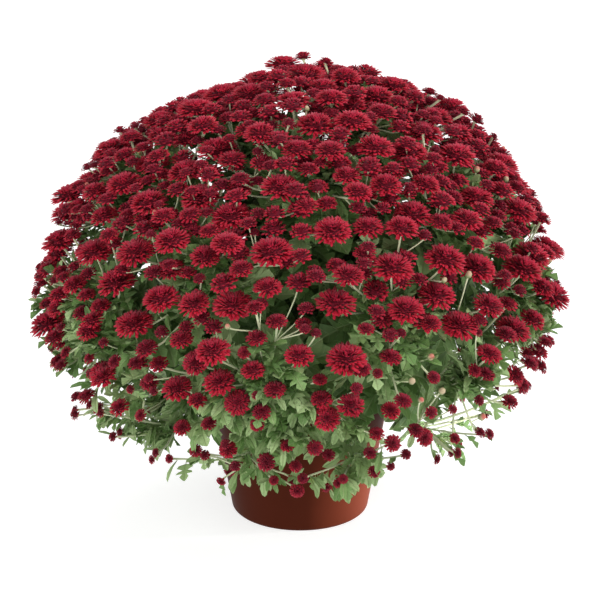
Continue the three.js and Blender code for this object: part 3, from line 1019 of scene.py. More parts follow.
@dataclass(frozen=True)
class PetalFinish:
    """Velvety crimson: darker at the root with painted shade, darker in the heart with its own colour and
    painted shade, and with paler pinkish tips that are a painted highlight.
    """

    # shade and deep: the roots of young and of open heads, painted shade between the petals; young heads'
    # roots are also a deeper wine of their own.
    shade: Colour = (0.11, 0.006, 0.015)
    deep: Colour = (0.18, 0.0012, 0.010)
    wine: Colour = (0.29, 0.013, 0.033)
    crimson: Colour = (0.55, 0.012, 0.034)
    # bright: the pale pinkish tips of ripe heads, a painted highlight and sheen.
    bright: Colour = (0.69, 0.044, 0.084)
    # heart: the middle's darker colour, partly the inner petals' own and partly painted shade in the hollow
    # of the head.
    heart: Colour = (0.27, 0.006, 0.034)
    sheen: float = 0.12

    def material(self) -> bpy.types.Material:
        """Builds the material.

        Returns:
            The material.
        """
        paint = Paint("crimson_petal")
        along, heart, chance = paint.growth()
        opened = chance.ramp(0.05, 0.85)
        # Painted shade: the roots, where the petals lie under each other, are darker.
        root = paint.mix(opened, self.shade, self.deep)
        colour = paint.mix(along.ramp(0.1, 0.75), root, paint.mix(opened, self.wine, self.crimson))
        # Painted highlight: the tips of ripe heads turn pale and pinkish, as if lit.
        colour = paint.mix((chance * along.ramp(0.55, 1.0)).ramp(0.2, 1.0), colour, self.bright)
        # The heart: partly the inner petals' own deeper colour, partly painted shade in the head's middle.
        colour = paint.mix(heart.ramp(0.5, 1.0) * 0.5, colour, self.heart)
        paint.set(Base_Color=colour, Roughness=0.62)
        paint.set(Sheen_Weight=self.sheen, Sheen_Roughness=0.45, Sheen_Tint=(1.0, 0.55, 0.6))
        paint.set(Specular_IOR_Level=0.06)
        return paint.material


@dataclass(frozen=True)
class LeafFinish:
    """Matt grey-green with paler veins, some leaves yellower and some darker, partly at random and partly by
    painted shade deep in the plant.
    """

    dark: Colour = (0.070, 0.140, 0.036)
    green: Colour = (0.150, 0.290, 0.072)
    grey: Colour = (0.33, 0.455, 0.20)
    yellow: Colour = (0.42, 0.50, 0.12)
    vein: Colour = (0.34, 0.44, 0.20)

    def material(self) -> bpy.types.Material:
        """Builds the material.

        Returns:
            The material.
        """
        paint = Paint("leaf_green")
        across, along, chance = paint.growth()
        mottle = paint.noise(90.0, 3.0)
        # The dark green comes partly at random and partly from painted shade, through each leaf's value.
        colour = paint.mix((chance + 0.3 * mottle).ramp(-0.4, 0.5), self.dark, self.green)
        colour = paint.mix((chance + 0.5 * mottle).ramp(0.25, 1.0), colour, self.grey)
        colour = paint.mix((chance - 0.55 * along + mottle * 0.2).ramp(0.75, 1.0), colour, self.yellow)
        rib = 1 - abs(across).ramp(0.008, 0.022)
        side_veins = ((along - 0.8 * abs(across)) * 42.0).wave().ramp(0.82, 1.0) * 0.55
        veins = rib + side_veins
        colour = paint.mix(veins.ramp(0.0, 1.0) * (0.3 + 0.4 * chance.ramp(-0.3, 0.4)), colour, self.vein)
        paint.set(Base_Color=colour, Roughness=0.50 + 0.15 * mottle, Specular_IOR_Level=0.5)
        paint.bump(mottle * 0.6 - veins * 0.5, 0.8, 1.2 * MM)
        return paint.material


@dataclass(frozen=True)
class StalkFinish:
    """Downy stalks, pale under the blooms and greener and browner towards the soil."""

    pale: Colour = (0.68, 0.72, 0.46)
    green: Colour = (0.22, 0.31, 0.13)
    woody: Colour = (0.13, 0.11, 0.05)

    def material(self) -> bpy.types.Material:
        """Builds the material.

        Returns:
            The material.
        """
        paint = Paint("stalk_green")
        age, _, chance = paint.growth()
        streak = paint.noise(160.0, 2.0)
        colour = paint.mix(age.ramp(0.0, 0.5), self.woody, self.green)
        colour = paint.mix((age + 0.3 * (streak - 0.5)).ramp(0.4, 0.88), colour, self.pale)
        colour = paint.mix(chance * 0.3, colour, self.green)
        paint.set(Base_Color=colour, Roughness=0.6, Specular_IOR_Level=0.35)
        paint.set(Sheen_Weight=0.3, Sheen_Roughness=0.5)
        paint.bump(streak, 0.3, 0.3 * MM)
        return paint.material


@dataclass(frozen=True)
class BudFinish:
    """Closed buds: green scales below and yellow-green or pinkish tips."""

    scale: Colour = (0.22, 0.28, 0.12)
    tip: Colour = (0.46, 0.36, 0.22)
    blush: Colour = (0.50, 0.12, 0.09)

    def material(self) -> bpy.types.Material:
        """Builds the material.

        Returns:
            The material.
        """
        paint = Paint("bud_green")
        along, _, chance = paint.growth()
        colour = paint.mix(along.ramp(0.3, 0.8), self.scale, self.tip)
        colour = paint.mix(chance.ramp(0.3, 0.7) * along.ramp(0.6, 0.95), colour, self.blush)
        paint.set(Base_Color=colour, Roughness=0.6)
        paint.bump(paint.noise(400.0), 0.3, 0.3 * MM)
        return paint.material


@dataclass(frozen=True)
class PotFinish:
    """Satin terracotta-brown plastic with faint moulding marks and scuffs."""

    brown: Colour = (0.058, 0.0105, 0.0042)
    faded: Colour = (0.069, 0.0130, 0.0054)

    def material(self) -> bpy.types.Material:
        """Builds the material.

        Returns:
            The material.
        """
        paint = Paint("terracotta_plastic")
        cloud = paint.noise(9.0, 4.0)
        grain = paint.noise(900.0, 2.0)
        colour = paint.mix(cloud.ramp(0.4, 0.8), self.brown, self.faded)
        paint.set(Base_Color=colour, Roughness=0.42 + 0.12 * cloud, Specular_IOR_Level=0.03)
        paint.bump(grain, 0.12, 0.2 * MM)
        return paint.material


@dataclass(frozen=True)
class SoilFinish:
    """Damp dark peat with paler bark."""

    peat: Colour = (0.018, 0.012, 0.008)
    bark: Colour = (0.07, 0.045, 0.028)

    def material(self) -> bpy.types.Material:
        """Builds the material.

        Returns:
            The material.
        """
        paint = Paint("damp_soil")
        crumbs = paint.noise(260.0, 6.0)
        colour = paint.mix(crumbs.ramp(0.5, 0.72), self.peat, self.bark)
        paint.set(Base_Color=colour, Roughness=0.9)
        paint.bump(crumbs, 0.9, 2 * MM)
        return paint.material


# ---- The flower heads ----

RAISED = 1.0


def is_hub(place_at: Vector) -> bool:
    """Whether a point of a fan is its hub, which is left on the ground."""
    return place_at.z < RAISED / 2


def fan(rim: Sequence[Pair]) -> Bench:
    """Starts a shape as a flat fan, and raises its rim to where it belongs.

    Args:
        rim: The places of the rim's points, from the tip round by the left.

    Returns:
        The bench that it is on.
    """
    bench = Bench(bpy.ops.mesh.primitive_circle_add, vertices=len(rim), radius=1.0, fill_type="TRIFAN")
    for k, (x, y) in enumerate(rim):
        start = Vector((-sin(2 * pi * k / len(rim)), cos(2 * pi * k / len(rim))))
        bench.pick(lambda co: (co.xy - start).length < 1e-3 and abs(co.z) < 1e-4)
        bench.move(x - start.x, y - start.y, RAISED)
    return bench


@dataclass(frozen=True)
class PetalShape:
    """A petal of unit length and width: a thin blade on a keel.

    Attributes:
        edge: Its edge from root to tip, as places along it and widths.
        keel: Where its keel is deepest.
        depth: How deep it is there.
    """

    edge: tuple[Pair, ...]
    keel: float = 0.55
    depth: float = 0.30

    def model(self) -> Shape:
        """Models it from a flat fan: the rim becomes the edge, the hub the keel, and a cover the face.

        Returns:
            The petal.
        """
        left = [(-width / 2, along) for along, width in reversed(self.edge)]
        right = [(width / 2, along) for along, width in self.edge]
        bench = fan([(0.0, 1.0), *left, (0.0, 0.0), *right])
        bench.pick(is_hub).move(0, self.keel, RAISED - self.depth)
        bench.pick(lambda co: co.z > 0.99 * RAISED)
        bpy.ops.mesh.fill(use_beauty=True)
        bench.pick_all().move(0, 0, -RAISED).turn_outwards()
        return bench.shape()


@dataclass(frozen=True)
class KitePetal:
    """A petal of unit length and width with four faces: a kite that is raised at its shoulders.

    Attributes:
        shoulder: Where its shoulders are along it.
        rise: How high they are.
    """

    shoulder: float = 0.74
    rise: float = 0.16

    def model(self) -> Shape:
        """Models it from a cone with three sides, whose base corners become the root and the shoulders.

        Returns:
            The petal.
        """
        bench = Bench(bpy.ops.mesh.primitive_cone_add, vertices=3, radius1=1.0, radius2=0.0, depth=1.0)
        bench.pick(lambda co: co.z > 0).move(0, 0, -0.5)
        bench.pick(lambda co: co.z < -0.1 and co.y > 0.5).move(0, 0, 0.5)
        for side in (-1, 1):
            bench.pick(lambda co: co.z < -0.1 and co.x * side > 0)
            bench.move(side * (0.5 - sin(pi * 2 / 3)), self.shoulder + 0.5, self.rise + 0.5)
        bench.turn_outwards()
        return bench.shape()


STRAP_PETAL = PetalShape(edge=((0.45, 0.86), (0.90, 0.84)))
KITE_PETAL = KitePetal()


@dataclass(frozen=True)
class Head:
    """How a flower head's petals make a dome, with lengths as shares of the head's radius.

    Attributes:
        straps: How many strap petals it has, at its rim.
        kites: How many kite petals, within them.
        height: The dome's height.
        droop: How far the outermost petals hang under level.
        width: The width of the outermost and innermost petals.
        curl: The turn of the outermost and innermost petals along their length.
        start: Where the petals start, as a share of the way to the dome.
        base: The height of the dome's middle, from the head's own middle.
        filling: How much closer the inner petals stand.
        heights: The least and greatest share of its height that a head has.
        raggedness: How uneven the least and the most ragged head are.
        uneven: How much the petals differ in lift, curl, length, width and turn.
        ripe: The radius in millimetres from which its petals brighten, and how far up to the brightest.
        brightness: What size, age and chance count in how bright a petal is: its own colour, and the painted
            highlight on its tip.
        first_turn: How much the first petal's turn differs from head to head.
    """

    straps: int
    kites: int
    height: float = 0.57
    droop: float = radians(7)
    width: Pair = (0.19, 0.13)
    curl: Pair = (-0.35, 0.9)
    start: float = 0.34
    base: float = -0.14
    filling: float = 1.12
    heights: Pair = (0.82, 1.12)
    raggedness: Pair = (0.7, 1.6)
    uneven: tuple[float, ...] = (radians(6), 0.3, 0.08, 0.16, 0.12)
    ripe: Pair = (7, 11)
    brightness: Triple = (0.45, 0.35, 0.12)
    first_turn: float = 6

    def grow(
        self, shapes: tuple[Shape, Shape], bloom: Bloom, draws: Draws
    ) -> list[tuple[np.ndarray, Shape, np.ndarray]]:
        """Grows the petals of a head.

        Args:
            shapes: The strap petal and the kite petal.
            bloom: The head that they belong to.
            draws: The random numbers to use.

        Returns:
            For each of the two shapes, the petals' points, the shape and the values for their finish.
        """
        count = self.straps + self.kites
        share = (np.arange(count) + 0.5) / count
        rough = np.array([[draws.between(-1, 1) for _ in range(5)] for _ in range(count)])
        age = draws.between(0, 1)
        height = self.height * draws.between(*self.heights)
        ragged = draws.between(*self.raggedness)
        lifts, curls, lengths, widths, turns = self.uneven
        rise = -sin(self.droop) + (1 + sin(self.droop)) * share**self.filling
        lift = np.arcsin(np.clip(rise, -1, 1))
        reach = 1 / np.sqrt(np.cos(lift) ** 2 + (np.sin(lift) / height) ** 2)
        lift = lift + lifts * ragged * rough[:, 0]
        curl = between_ends(self.curl, share) + curls * rough[:, 1]
        length = (1 - self.start) * reach * (1 + lengths * ragged * rough[:, 2])
        width = between_ends(self.width, share) * (1 + widths * rough[:, 3])
        turn = GOLDEN_ANGLE * np.arange(count) + turns * rough[:, 4] + age * self.first_turn
        ripe_from, ripe_over = self.ripe
        size = clamped((bloom.radius / MM - ripe_from) / ripe_over)
        by_size, by_age, by_chance = self.brightness
        chance = by_size * size + by_age * age + by_chance * (rough[:, 3] + 1)
        axes = bloom.axes()
        grown = []
        for shape, rows in ((shapes[0], slice(0, self.straps)), (shapes[1], slice(self.straps, count))):
            points = np.repeat(shape.points[None], len(share[rows]), axis=0)
            points[:, :, [0, 2]] *= (width[rows] / length[rows])[:, None, None]
            curved = bend(points, lift[rows] - curl[rows] / 2, curl[rows]) * length[rows][:, None, None]
            begin = self.start * reach[rows]
            far = curved[:, :, 1] + (begin * np.cos(lift[rows]))[:, None]
            high = curved[:, :, 2] + (begin * np.sin(lift[rows]) + self.base)[:, None]
            c, s = np.cos(turn[rows])[:, None], np.sin(turn[rows])[:, None]
            local = np.stack([far * s + curved[:, :, 0] * c, far * c - curved[:, :, 0] * s, high], axis=2)
            world = np.array(bloom.centre) + bloom.radius * (local @ axes)
            values = growth_values(shape.points[None, :, 1], share[rows][:, None], chance[rows][:, None])
            grown.append((world, shape, values))
        return grown


LARGE_HEAD = Head(40, 184, width=(0.165, 0.12))
MIDDLE_HEAD = Head(30, 136, width=(0.19, 0.135))
SMALL_HEAD = Head(20, 92, height=0.58, width=(0.23, 0.16))
UNDER_HEAD = Head(0, 48, height=0.60, width=(0.33, 0.24))
YOUNG_HEAD = Head(
    12, 38, height=0.86, droop=radians(16), width=(0.32, 0.22), curl=(0.3, 0.9), start=0.3, base=-0.2
)
LARGE_FROM = 17.5 * MM
MIDDLE_FROM = 13.5 * MM


def head_of(bloom: Bloom) -> Head:
    """Chooses the kind of flower head that a bloom is.

    Args:
        bloom: The bloom.

    Returns:
        Its kind.
    """
    if bloom.stage is Stage.HALF_OPEN:
        return YOUNG_HEAD
    if bloom.stage is Stage.UNDER:
        return UNDER_HEAD
    if bloom.radius > LARGE_FROM:
        return LARGE_HEAD
    return MIDDLE_HEAD if bloom.radius > MIDDLE_FROM else SMALL_HEAD


@dataclass(frozen=True)
class Cup:
    """A small round cup or bud, with z as its axis.

    Attributes:
        segments: How many sides it has.
        rings: How many rings it has from end to end.
        squash: Its height as a share of its width.
        flare: How much its upper half is widened.
    """

    segments: int
    rings: int
    squash: float
    flare: float

    def model(self) -> Shape:
        """Models it from a sphere.

        Returns:
            The cup.
        """
        bench = Bench(
            bpy.ops.mesh.primitive_uv_sphere_add, segments=self.segments, ring_count=self.rings, radius=1.0
        )
        bench.pick_all().resize(1, 1, self.squash, (0, 0, 0))
        bench.pick(lambda co: co.z > 0.05 * self.squash).resize(self.flare, self.flare, 1, (0, 0, 0))
        return bench.shape()


CALYX = Cup(segments=7, rings=3, squash=1.0, flare=1.1)
BUD = Cup(segments=7, rings=5, squash=1.15, flare=0.9)


# ---- Leaves ----


@dataclass(frozen=True)
class LeafShape:
    """A leaf of unit length with its stalk, as a fan round its middle.

    Attributes:
        outline: The right side's points, from the stalk to the tip, as widths and places.
        middle: The middle's place.
        thickness: The leaf's thickness there.
    """

    outline: tuple[Pair, ...]
    middle: float = 0.56
    thickness: float = 0.02

    def model(self) -> Shape:
        """Models it from a flat fan whose rim becomes the outline, and closes it with an under side.

        Returns:
            The leaf.
        """
        bench = fan([(0.0, 1.0), *((-x, y) for x, y in reversed(self.outline)), *self.outline])
        bench.pick(is_hub).move(0, self.middle, RAISED + self.thickness / 2)
        bench.pick_all().move(0, 0, -RAISED)
        bpy.ops.mesh.duplicate_move()
        bench.resize(1, 1, -1, (0, 0, 0))
        bench.pick_all()
        bpy.ops.mesh.remove_doubles(threshold=1e-4)
        bench.turn_outwards()
        return bench.shape()


class LeafKind(Enum):
    """The kinds of leaves on the plant."""

    LOBED = "lobed"
    SMALL = "small"
    SPOON = "spoon"


LEAF_SHAPES = {
    LeafKind.LOBED: LeafShape((
        (0.012, 0.0), (0.016, 0.24), (0.10, 0.28), (0.24, 0.33), (0.32, 0.43), (0.10, 0.52),
        (0.27, 0.60), (0.33, 0.73), (0.085, 0.69), (0.18, 0.84), (0.07, 0.96),
    )),
    LeafKind.SMALL: LeafShape((
        (0.014, 0.0), (0.02, 0.26), (0.19, 0.38), (0.30, 0.54), (0.095, 0.60), (0.20, 0.80), (0.07, 0.95),
    )),
    LeafKind.SPOON: LeafShape(((0.012, 0.0), (0.025, 0.18), (0.095, 0.42), (0.135, 0.66), (0.085, 0.90))),
}


@dataclass
class Garden:
    """The shapes and finishes that all sprays and stems share."""

    petals: tuple[Shape, Shape]
    calyx: Shape
    bud: Shape
    leaves: dict[LeafKind, Shape]
    petal_finish: bpy.types.Material
    leaf_finish: bpy.types.Material
    stalk_finish: bpy.types.Material
    bud_finish: bpy.types.Material


@dataclass
class Foliage:
    """The leaves of one stem or spray, grown one by one and made into one piece.

    Attributes:
        garden: The shapes and finishes.
        draws: The random numbers to use.
        heads: The flower heads that leaves keep off, as places and radii.
        strays: The share of leaves that may hang under the skirt's edge.
        lowest: How far over the edge a leaf stays at the least.
        ragged: How far over it a leaf stays at the most.
        ragged_over_pot: The same in front of the pot.
        pot_reach: How far to each side that is.
        fold: The least and greatest rise of a leaf's halves from its rib.
        ripple: The least and greatest height of its ripples.
        waves: How many they are, as their phase from root to tip.
        widths: The least and greatest share of its width that it has.
        lifts: The least and greatest angle at its root.
        curls: The least and greatest turn down, from root to tip.
        bundle: The leaves that have grown.
    """

    garden: Garden
    draws: Draws
    heads: np.ndarray = field(default_factory=lambda: np.zeros((0, 4)))
    strays: float = 0.05
    lowest: float = -6 * MM
    ragged: float = 8 * MM
    ragged_over_pot: float = 62 * MM
    pot_reach: float = 92 * MM
    fold: Pair = (0.15, 0.55)
    ripple: Pair = (0.0, 0.2)
    waves: float = 9.0
    widths: Pair = (0.85, 1.1)
    lifts: Pair = (-0.1, 0.3)
    curls: Pair = (0.2, 1.1)
    bundle: Bundle = field(default_factory=Bundle)

    def leaf(
        self, root: Vector, along: Vector, upward: Vector, length: float, kind: LeafKind, shade: float
    ) -> None:
        """Grows a leaf, unless it would hang too low or lie on a flower head.

        Args:
            root: Where its stalk leaves.
            along: The way it grows.
            upward: The way its upper side looks.
            length: Its length with its stalk.
            kind: Its shape.
            shade: How much painted shade darkens it, from 0 to 1.
        """
        draws = self.draws
        shape = self.garden.leaves[kind]
        points = shape.points.copy()
        aside = np.abs(points[:, 0])
        fold, ripple = draws.between(*self.fold), draws.between(*self.ripple)
        points[:, 2] += fold * aside + ripple * np.sin(self.waves * points[:, 1]) * aside
        points[:, 0] *= draws.between(*self.widths)
        lift, curl = draws.between(*self.lifts), -draws.between(*self.curls)
        curved = bend(points[None], np.array([lift]), np.array([curl]))
        world = np.array(root) + length * (curved @ frame_of(along, upward))
        # Painted shade: a shaded leaf draws a lower value, so its finish turns darker.
        chance = draws.between(0, 1) - shade
        room = (world[0, :, 2] - skirt_edge(world[0])).min()
        over_pot = root.y < 0 and abs(root.x) < self.pot_reach
        ragged = self.ragged_over_pot if over_pot else self.ragged
        if room < draws.between(self.lowest, ragged) and not draws.chance(self.strays):
            return
        apart = np.linalg.norm(world[0][:, None] - self.heads[None, :, :3], axis=2)
        if (apart < self.heads[None, :, 3]).any():
            return
        self.bundle.add(world, shape, growth_values(shape.points[:, 0], shape.points[:, 1], chance))


# ---- Sprays and stems ----


STALK_ROUNDING = radians(60)
LEAF_ROUNDING = radians(20)
# What the finishes read on a calyx and in the middle of a head.
CALYX_GROWTH = growth_values(0.78, 0.0, 0.3)
# The middle of a head takes the petals' dark root colour, which is painted shade, and part of the heart's
# colour.
CORE_GROWTH = growth_values(0.12, 0.6, 0.0)


@dataclass
class FlowerSpray:
    """A spray: its axis, a stalk to each flower head, the heads, the buds and the small leaves.

    Attributes:
        stem: The stem that it stands on.
        blooms: Its flower heads.
        garden: The shapes and finishes.
        draws: The random numbers to use.
        dome: The dome that the heads stand on.
        axis_end: Where its axis ends, as a share of the dome's reach.
        axis_radius: The axis's radius at its root and its end.
        axis_age: How pale the axis is there.
        axis_mesh: How many points its path has, and how many sides it has.
        first_seat: Where on the axis the first stalk leaves, as a share of the gap between two.
        stalk_radius: The same radii of a stalk to an open head.
        side_radius: The same radii of a stalk to a smaller head.
        stalk_age: How pale the root of a stalk to an open head is.
        side_age: How pale the root of a stalk to a smaller head is.
        stalk_mesh: How many points the path of a stalk to an open head has, and how many sides it has.
        side_mesh: The same for a stalk to a smaller head.
        bow: Where a stalk bows out, how far, and how much it sways at random, as shares of its length.
        rise: How much a stalk's end follows the straight line to its head, and the head's facing.
        neck: The length of that end, as a share of the stalk's.
        flare: How much wider a stalk is under its head.
        calyx: The calyx's depth under a head and its radius, as shares of the head's, and its height's
            share of its radius.
        young_calyx: The same for a half-open head.
        calyx_seat: How far up from the stalk's end a calyx's middle is, as a share of its height.
        core: The sides of a head's packed middle, as shares of its radius, radius and height.
        young_tint: The least and added share of the heart's colour and painted shade on a half-open head.
        cover: Where the middle of what leaves keep off is before a head, and its radius, as shares of the
            head's radius.
        seats: Where the smaller heads' stalks leave the others, as shares of those.
        side_reach: What each seat's distance counts besides its length.
        side_turn: What a seat costs more where it isn't right under the head.
        side_rise: How much the way down from a smaller head to its seat is upright.
        leaf_from: The angle from straight up where the plant's low part starts, and how far it goes.
        leaf_growth: How quickly the leaves get more down there.
        leaves: How many leaves a stalk has, and how many more it has low down.
        leaf_places: Where along the stalk the first are, where the last are, and how much farther low down.
        leaf_out: How much leaves grow outwards, and how much more low down.
        leaf_loose: How much they turn at random along and upwards.
        leaf_face: How much their upper sides look outwards rather than straight up.
        leaf_up: How much they turn up, at the least and the most.
        leaf_sag: How much they hang low down.
        leaf_room: How far they may reach past the head, and how much farther low down.
        leaf_length: The least and greatest length of a leaf.
        leaf_scale: The share of that length which they have, and what low down adds.
        leaf_least: The least length of a leaf that has little room.
        lobed_from: The length from which a leaf is lobed.
        spoons: The share of spoon-shaped leaves, and how much more of them there is low down.
        leaf_shade: How much painted shade darkens the leaves high on the plant, under the heads.
    """

    stem: Stem
    blooms: list[Bloom]
    garden: Garden
    draws: Draws
    dome: Dome = Dome()
    axis_end: float = 0.86
    axis_radius: Pair = (2.1 * MM, 1.4 * MM)
    axis_age: Pair = (0.35, 0.75)
    axis_mesh: tuple[int, int] = (5, 6)
    first_seat: float = 0.3
    stalk_radius: Pair = (1.0 * MM, 1.05 * MM)
    side_radius: Pair = (0.7 * MM, 0.75 * MM)
    stalk_age: float = 0.6
    side_age: float = 0.75
    stalk_mesh: tuple[int, int] = (6, 5)
    side_mesh: tuple[int, int] = (5, 4)
    bow: Triple = (0.3, 0.05, 0.04)
    rise: Pair = (0.75, 0.35)
    neck: float = 0.3
    flare: float = 1.3
    calyx: Triple = (0.46, 0.27, 0.4)
    young_calyx: Triple = (0.85, 0.42, 0.7)
    calyx_seat: float = 0.8
    core: Triple = (0.56, 0.56, 0.52)
    young_tint: Pair = (0.5, 0.4)
    cover: Pair = (0.35, 0.85)
    seats: tuple[float, ...] = (0.1, 0.25, 0.4, 0.55, 0.7)
    side_reach: float = 12 * MM
    side_turn: float = 2.2
    side_rise: float = 0.5
    leaf_from: Pair = (radians(60), radians(38))
    leaf_growth: float = 0.95
    leaves: Pair = (12, 30)
    leaf_places: Triple = (0.05, 0.58, 0.36)
    leaf_out: Pair = (0.6, 0.5)
    leaf_loose: Pair = (0.8, 0.3)
    leaf_face: float = 0.6
    leaf_up: Pair = (-0.1, 0.4)
    leaf_sag: float = 0.35
    leaf_room: Pair = (2 * MM, 22 * MM)
    leaf_length: Pair = (24 * MM, 42 * MM)
    leaf_scale: Pair = (1.2, -0.48)
    leaf_least: float = 14 * MM
    lobed_from: float = 27 * MM
    spoons: Pair = (0.15, 0.45)
    leaf_shade: float = 0.35

    def __post_init__(self) -> None:
        """Lays out the spray's axis and its empty bundles."""
        self.stalks, self.heads, self.buds = Bundle(), Bundle(), Bundle()
        before, radius = self.cover
        covers = [
            (*(bloom.centre + bloom.facing * (before * bloom.radius)), radius * bloom.radius)
            for bloom in self.blooms
        ]
        self.foliage = Foliage(self.garden, self.draws, np.array(covers))
        reach = self.dome.reach(self.stem.from_up)
        self.base = self.dome.point(self.stem.direction, self.stem.joint_share * reach)
        self.end = self.dome.point(self.stem.direction, self.axis_end * reach)

    def build(self) -> None:
        """Builds the spray's pieces."""
        steps, sides = self.axis_mesh
        axis = np.linspace(np.array(self.base), np.array(self.end), steps)
        self.add_tube(axis, np.linspace(*self.axis_radius, steps), sides, self.axis_age)
        opened = [bloom for bloom in self.blooms if bloom.stage is Stage.FULL]
        opened.sort(key=self.off_axis, reverse=True)
        routes = []
        way = self.stem.direction
        for i, bloom in enumerate(opened):
            seat = self.base.lerp(self.end, (i + self.first_seat) / len(opened))
            routes.append(self.add_stalk(bloom, seat, way, self.stalk_radius, self.stalk_age))
            self.add_head(bloom)
        for bloom in self.blooms:
            if bloom.stage is Stage.FULL:
                continue
            seat, way = self.side_seat(bloom, routes)
            self.add_stalk(bloom, seat, way, self.side_radius, self.side_age)
            if bloom.stage is Stage.BUD:
                self.add_bud(bloom)
            else:
                self.add_head(bloom)
        for route in routes:
            self.add_leaves(route)
        number = f"{self.stem.number:02d}"
        node = f"flower_spray_{number}"
        garden = self.garden
        stalks = self.stalks.piece(f"spray_stalks_{number}", garden.stalk_finish, STALK_ROUNDING)
        place(stalks, Slot.LEAF, node)
        place(self.heads.piece(f"spray_blooms_{number}", garden.petal_finish), Slot.BLOOM, node)
        leaves = self.foliage.bundle.piece(f"spray_leaves_{number}", garden.leaf_finish, LEAF_ROUNDING)
        place(leaves, Slot.LEAF)
        if self.buds.total:
            buds = self.buds.piece(f"spray_buds_{number}", garden.bud_finish, STALK_ROUNDING)
            place(buds, Slot.LEAF)

    def off_axis(self, bloom: Bloom) -> float:
        """How far a flower head is from the spray's axis."""
        return (bloom.centre - self.end).cross(self.stem.direction).length

    def add_tube(self, path: np.ndarray, radii: np.ndarray, sides: int, ages: Pair) -> None:
        """Adds a stalk along a path.

        Args:
            path: The path.
            radii: Its radius at each point of the path.
            sides: How many sides it has.
            ages: How pale it is at its root and its end.
        """
        points, shape = tube(path, radii, sides)
        age = np.repeat(np.linspace(*ages, len(path)), sides)
        self.stalks.add(points, shape, growth_values(age, 0.0, self.draws.between(0, 1)))

    def add_stalk(self, bloom: Bloom, seat: Vector, way: Vector, radii: Pair, age: float) -> Route:
        """Adds the stalk from a seat to the back of a flower head, and its calyx.

        Args:
            bloom: The flower head.
            seat: Where the stalk starts.
            way: The way it starts.
            radii: Its radius at both ends.
            age: How pale its root is.

        Returns:
            The four points of its curve.
        """
        depth, wide, deep = self.young_calyx if bloom.stage is Stage.HALF_OPEN else self.calyx
        cup = bloom.centre - bloom.facing * (depth * bloom.radius)
        length = (cup - seat).length
        straight, faced = self.rise
        rise = ((cup - seat).normalized() * straight + bloom.facing * faced).normalized()
        along, out, loose = self.bow
        sway = self.draws.vector() * (loose * length)
        bowed = seat.lerp(cup, along) + way * (out * length) + sway
        route = (seat, bowed, cup - rise * (self.neck * length), cup)
        steps, sides = self.stalk_mesh if bloom.stage is Stage.FULL else self.side_mesh
        path = np.array([bezier(route, share) for share in np.linspace(0, 1, steps)])
        widths = np.linspace(*radii, steps)
        widths[-1] *= self.flare
        self.add_tube(path, widths, sides, (age, 1.0))
        if bloom.stage in (Stage.FULL, Stage.HALF_OPEN):
            size = bloom.radius * wide
            local = self.garden.calyx.points * np.array([size, size, size * deep])
            middle = cup + bloom.facing * (size * deep * self.calyx_seat)
            points = np.array(middle) + local @ bloom.axes()
            self.stalks.add(points[None], self.garden.calyx, CALYX_GROWTH)
        return route

    def add_head(self, bloom: Bloom) -> None:
        """Adds a flower head's petals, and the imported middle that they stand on.

        Args:
            bloom: The flower head.
        """
        head = head_of(bloom)
        for points, shape, values in head.grow(self.garden.petals, bloom, self.draws):
            if bloom.stage is Stage.HALF_OPEN:
                values[:, :, 1] = raised(self.young_tint, values[:, :, 1])
            self.heads.add(points, shape, values)
        core = self.garden.calyx
        sides = np.array(self.core) * (1, 1, head.height)
        local = core.points * (bloom.radius * sides) + (0, 0, head.base * bloom.radius)
        points = np.array(bloom.centre) + local @ bloom.axes()
        self.heads.add(points[None], core, CORE_GROWTH)

    def add_bud(self, bloom: Bloom) -> None:
        """Adds a closed bud.

        Args:
            bloom: The bud.
        """
        bud = self.garden.bud
        points = np.array(bloom.centre) + bloom.radius * (bud.points @ bloom.axes())
        values = growth_values((bud.points[:, 2] + 1) / 2, 0.0, self.draws.between(0, 1))
        self.buds.add(points[None], bud, values)

    def side_seat(self, bloom: Bloom, routes: list[Route]) -> tuple[Vector, Vector]:
        """Chooses the place on a stalk that a small head's own stalk leaves from.

        Args:
            bloom: The small head.
            routes: The curves of the stalks.

        Returns:
            The place, and the way that the small head's stalk leaves it.
        """
        rise = (self.dome.direction(bloom.centre) + UP * self.side_rise).normalized()
        seats = [bezier(route, share) for route in routes for share in self.seats]

        def cost(seat: Vector) -> float:
            """What a seat costs: less where it is near and right under the head."""
            way = bloom.centre - seat
            return (way.length + self.side_reach) * (self.side_turn - way.normalized().dot(rise))

        seat = min(seats, key=cost)
        return seat, (bloom.centre - seat).normalized()

    def add_leaves(self, route: Route) -> None:
        """Adds the small leaves along a flower head's stalk, more of them low on the plant.

        Args:
            route: The stalk's curve.
        """
        draws = self.draws
        start, fades = self.leaf_from
        first, last, farther = self.leaf_places
        loose, loose_up = self.leaf_loose
        low = clamped((self.dome.direction(route[3]).angle(UP) - start) / fades)
        for _ in range(round(raised(self.leaves, low**self.leaf_growth))):
            root = bezier(route, draws.between(first, last + farther * low))
            out = self.dome.direction(root)
            along = out * raised(self.leaf_out, low) + draws.vector() * loose
            along = along + UP * (draws.between(*self.leaf_up) - self.leaf_sag * low)
            upward = out * self.leaf_face + UP + draws.vector() * loose_up
            room = (route[3] - root).length + raised(self.leaf_room, low)
            length = draws.between(*self.leaf_length) * raised(self.leaf_scale, low)
            kind = LeafKind.LOBED if length >= self.lobed_from else LeafKind.SMALL
            if draws.chance(raised(self.spoons, low)):
                kind = LeafKind.SPOON
            length = min(length, max(room, self.leaf_least))
            # Painted shade: leaves high on the plant, under the heads, are darker; low down it fades out.
            self.foliage.leaf(root, along, upward, length, kind, self.leaf_shade * (1 - low))


